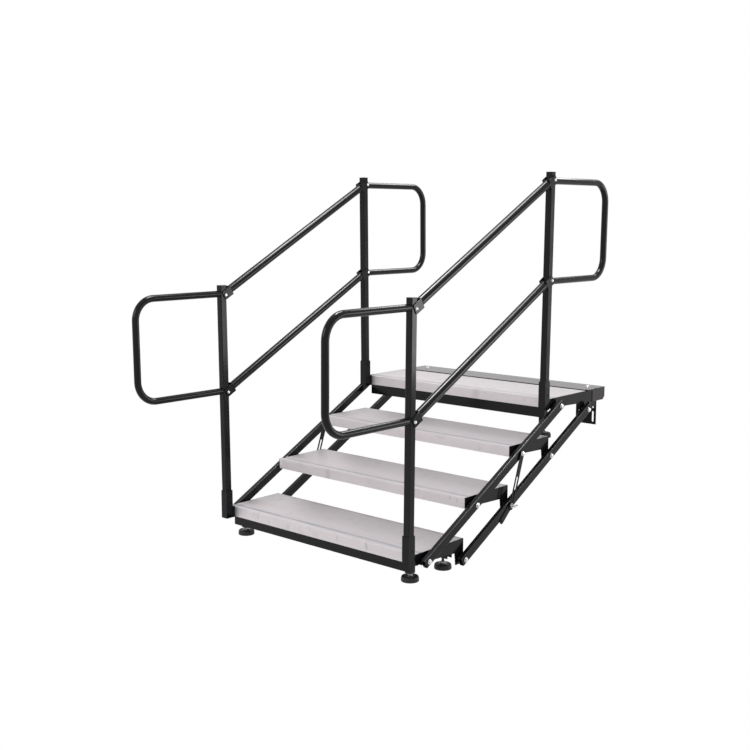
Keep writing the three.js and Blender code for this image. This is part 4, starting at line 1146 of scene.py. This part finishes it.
class STAIR_OT_stage(StairOperator):
    """Adds the floor, the studio light and the camera"""
    bl_idname = "stair.stage"
    bl_label = "Studio"

    def execute(self, context):
        self.floor()
        self.sky()
        for lamp in LAMPS:
            self.lamp(*lamp)
        for softbox in SOFTBOXES:
            self.softbox(*softbox)
        self.camera()
        bpy.context.scene.view_settings.view_transform = "Standard"
        return {"FINISHED"}

    def floor(self):
        """Wide floor under the stair"""
        bm = bmesh.new()
        bmesh.ops.create_grid(bm, x_segments=1, y_segments=1, size=FLOOR_SIZE,
                              matrix=Matrix.Translation((0, 0, CAD_BOX[0].z)))
        mesh = mesh_of("studio_floor", bm)
        mesh.materials.append(self.backdrop())
        put("studio_floor", mesh)

    def unlit(self, finish):
        """One for the rays that see the studio itself: camera, glossy and transmission rays"""
        rays = [finish.node("ShaderNodeLightPath", out=f"Is {kind} Ray")
                for kind in ("Camera", "Glossy", "Transmission")]
        return (rays[0] + rays[1] + rays[2]).clamp()

    def backdrop(self):
        """Light grey floor that looks white"""
        finish = Finish.named("studio_floor")
        finish.surface(Base_Color=(0.9, 0.9, 0.9), Roughness=0.9)
        glow = finish.node("ShaderNodeEmission", sockets={"Color": (1, 1, 1)})
        mixed = finish.node("ShaderNodeMixShader", sockets={
            0: self.unlit(finish), 1: Socket(finish.tree, finish.shader.outputs[0]), 2: glow})
        finish.feed(finish.tree.nodes["Material Output"].inputs["Surface"], mixed)
        return finish.material

    def sky(self):
        """Plain world light that looks white"""
        world = bpy.data.worlds.new("studio")
        bpy.context.scene.world = world
        world.use_nodes = True
        finish = Finish(world.node_tree)
        plain = finish.node("ShaderNodeBackground", sockets={
            "Color": SKY_COLOUR, "Strength": SKY_STRENGTH})
        white = finish.node("ShaderNodeBackground", sockets={"Color": (1, 1, 1), "Strength": 1.0})
        mixed = finish.node("ShaderNodeMixShader", sockets={
            0: self.unlit(finish), 1: plain, 2: white})
        finish.feed(finish.tree.nodes["World Output"].inputs["Surface"], mixed)

    def lamp(self, name, place, size, power):
        """Area lamp that faces the middle of the stair"""
        data = bpy.data.lights.new(name, "AREA")
        data.shape = "RECTANGLE"
        data.size, data.size_y = size
        data.energy = power
        lamp = put(name, data)
        low, high = CAD_BOX
        lamp.location = (low + high) / 2 + Vector(place)
        lamp.rotation_mode = "QUATERNION"
        lamp.rotation_quaternion = Vector(place).to_track_quat("Z", "Y")
        return lamp

    def softbox(self, name, place, size, power):
        """A lamp that only shows in the gloss of the powder coat"""
        lamp = self.lamp(name, place, size, power)
        lamp.visible_diffuse = False
        lamp.light_linking.receiver_collection = coated()

    def camera(self):
        """Camera of the photo"""
        data = bpy.data.cameras.new("camera")
        data.sensor_width = 36.0
        data.lens = LENS
        data.clip_end = 100.0
        camera = put("camera", data)
        back = Vector((math.sin(CAMERA_TURN) * math.cos(CAMERA_RISE),
                       -math.cos(CAMERA_TURN) * math.cos(CAMERA_RISE), math.sin(CAMERA_RISE)))
        target = Vector((0, FRONT_Y + CAMERA_TARGET[0], BASE_Z + CAMERA_TARGET[1]))
        camera.location = target + back * CAMERA_AWAY
        camera.rotation_mode = "QUATERNION"
        camera.rotation_quaternion = (-back).to_track_quat("-Z", "Y")
        bpy.context.scene.camera = camera


class STAIR_PT_panel(Panel):
    """Lists the stair's sizes, colours and operators"""
    bl_idname = "STAIR_PT_panel"
    bl_label = "Stage stairs"
    bl_space_type = "VIEW_3D"
    bl_region_type = "UI"
    bl_category = "Stairs"

    def draw(self, context):
        layout = self.layout
        for group in (context.scene.stair_sizes, context.scene.stair_colours):
            for key in group.__annotations__:
                layout.prop(group, key)
        for operator in OPERATORS:
            layout.operator(operator.bl_idname)


OPERATORS = (STAIR_OT_finishes, STAIR_OT_steelwork, STAIR_OT_treads, STAIR_OT_posts,
             STAIR_OT_handrails, STAIR_OT_bolts, STAIR_OT_clamps, STAIR_OT_feet,
             STAIR_OT_small_screws, STAIR_OT_stage)
CLASSES = (StairSizes, StairColours, *OPERATORS, STAIR_PT_panel)


def register():
    for item in CLASSES:
        bpy.utils.register_class(item)
    bpy.types.Scene.stair_sizes = PointerProperty(type=StairSizes)
    bpy.types.Scene.stair_colours = PointerProperty(type=StairColours)


def unregister():
    del bpy.types.Scene.stair_colours
    del bpy.types.Scene.stair_sizes
    for item in reversed(CLASSES):
        bpy.utils.unregister_class(item)


def main():
    register()
    for operator in OPERATORS:
        group, name = operator.bl_idname.split(".")
        getattr(getattr(bpy.ops, group), name)()


if __name__ == "__main__":
    main()
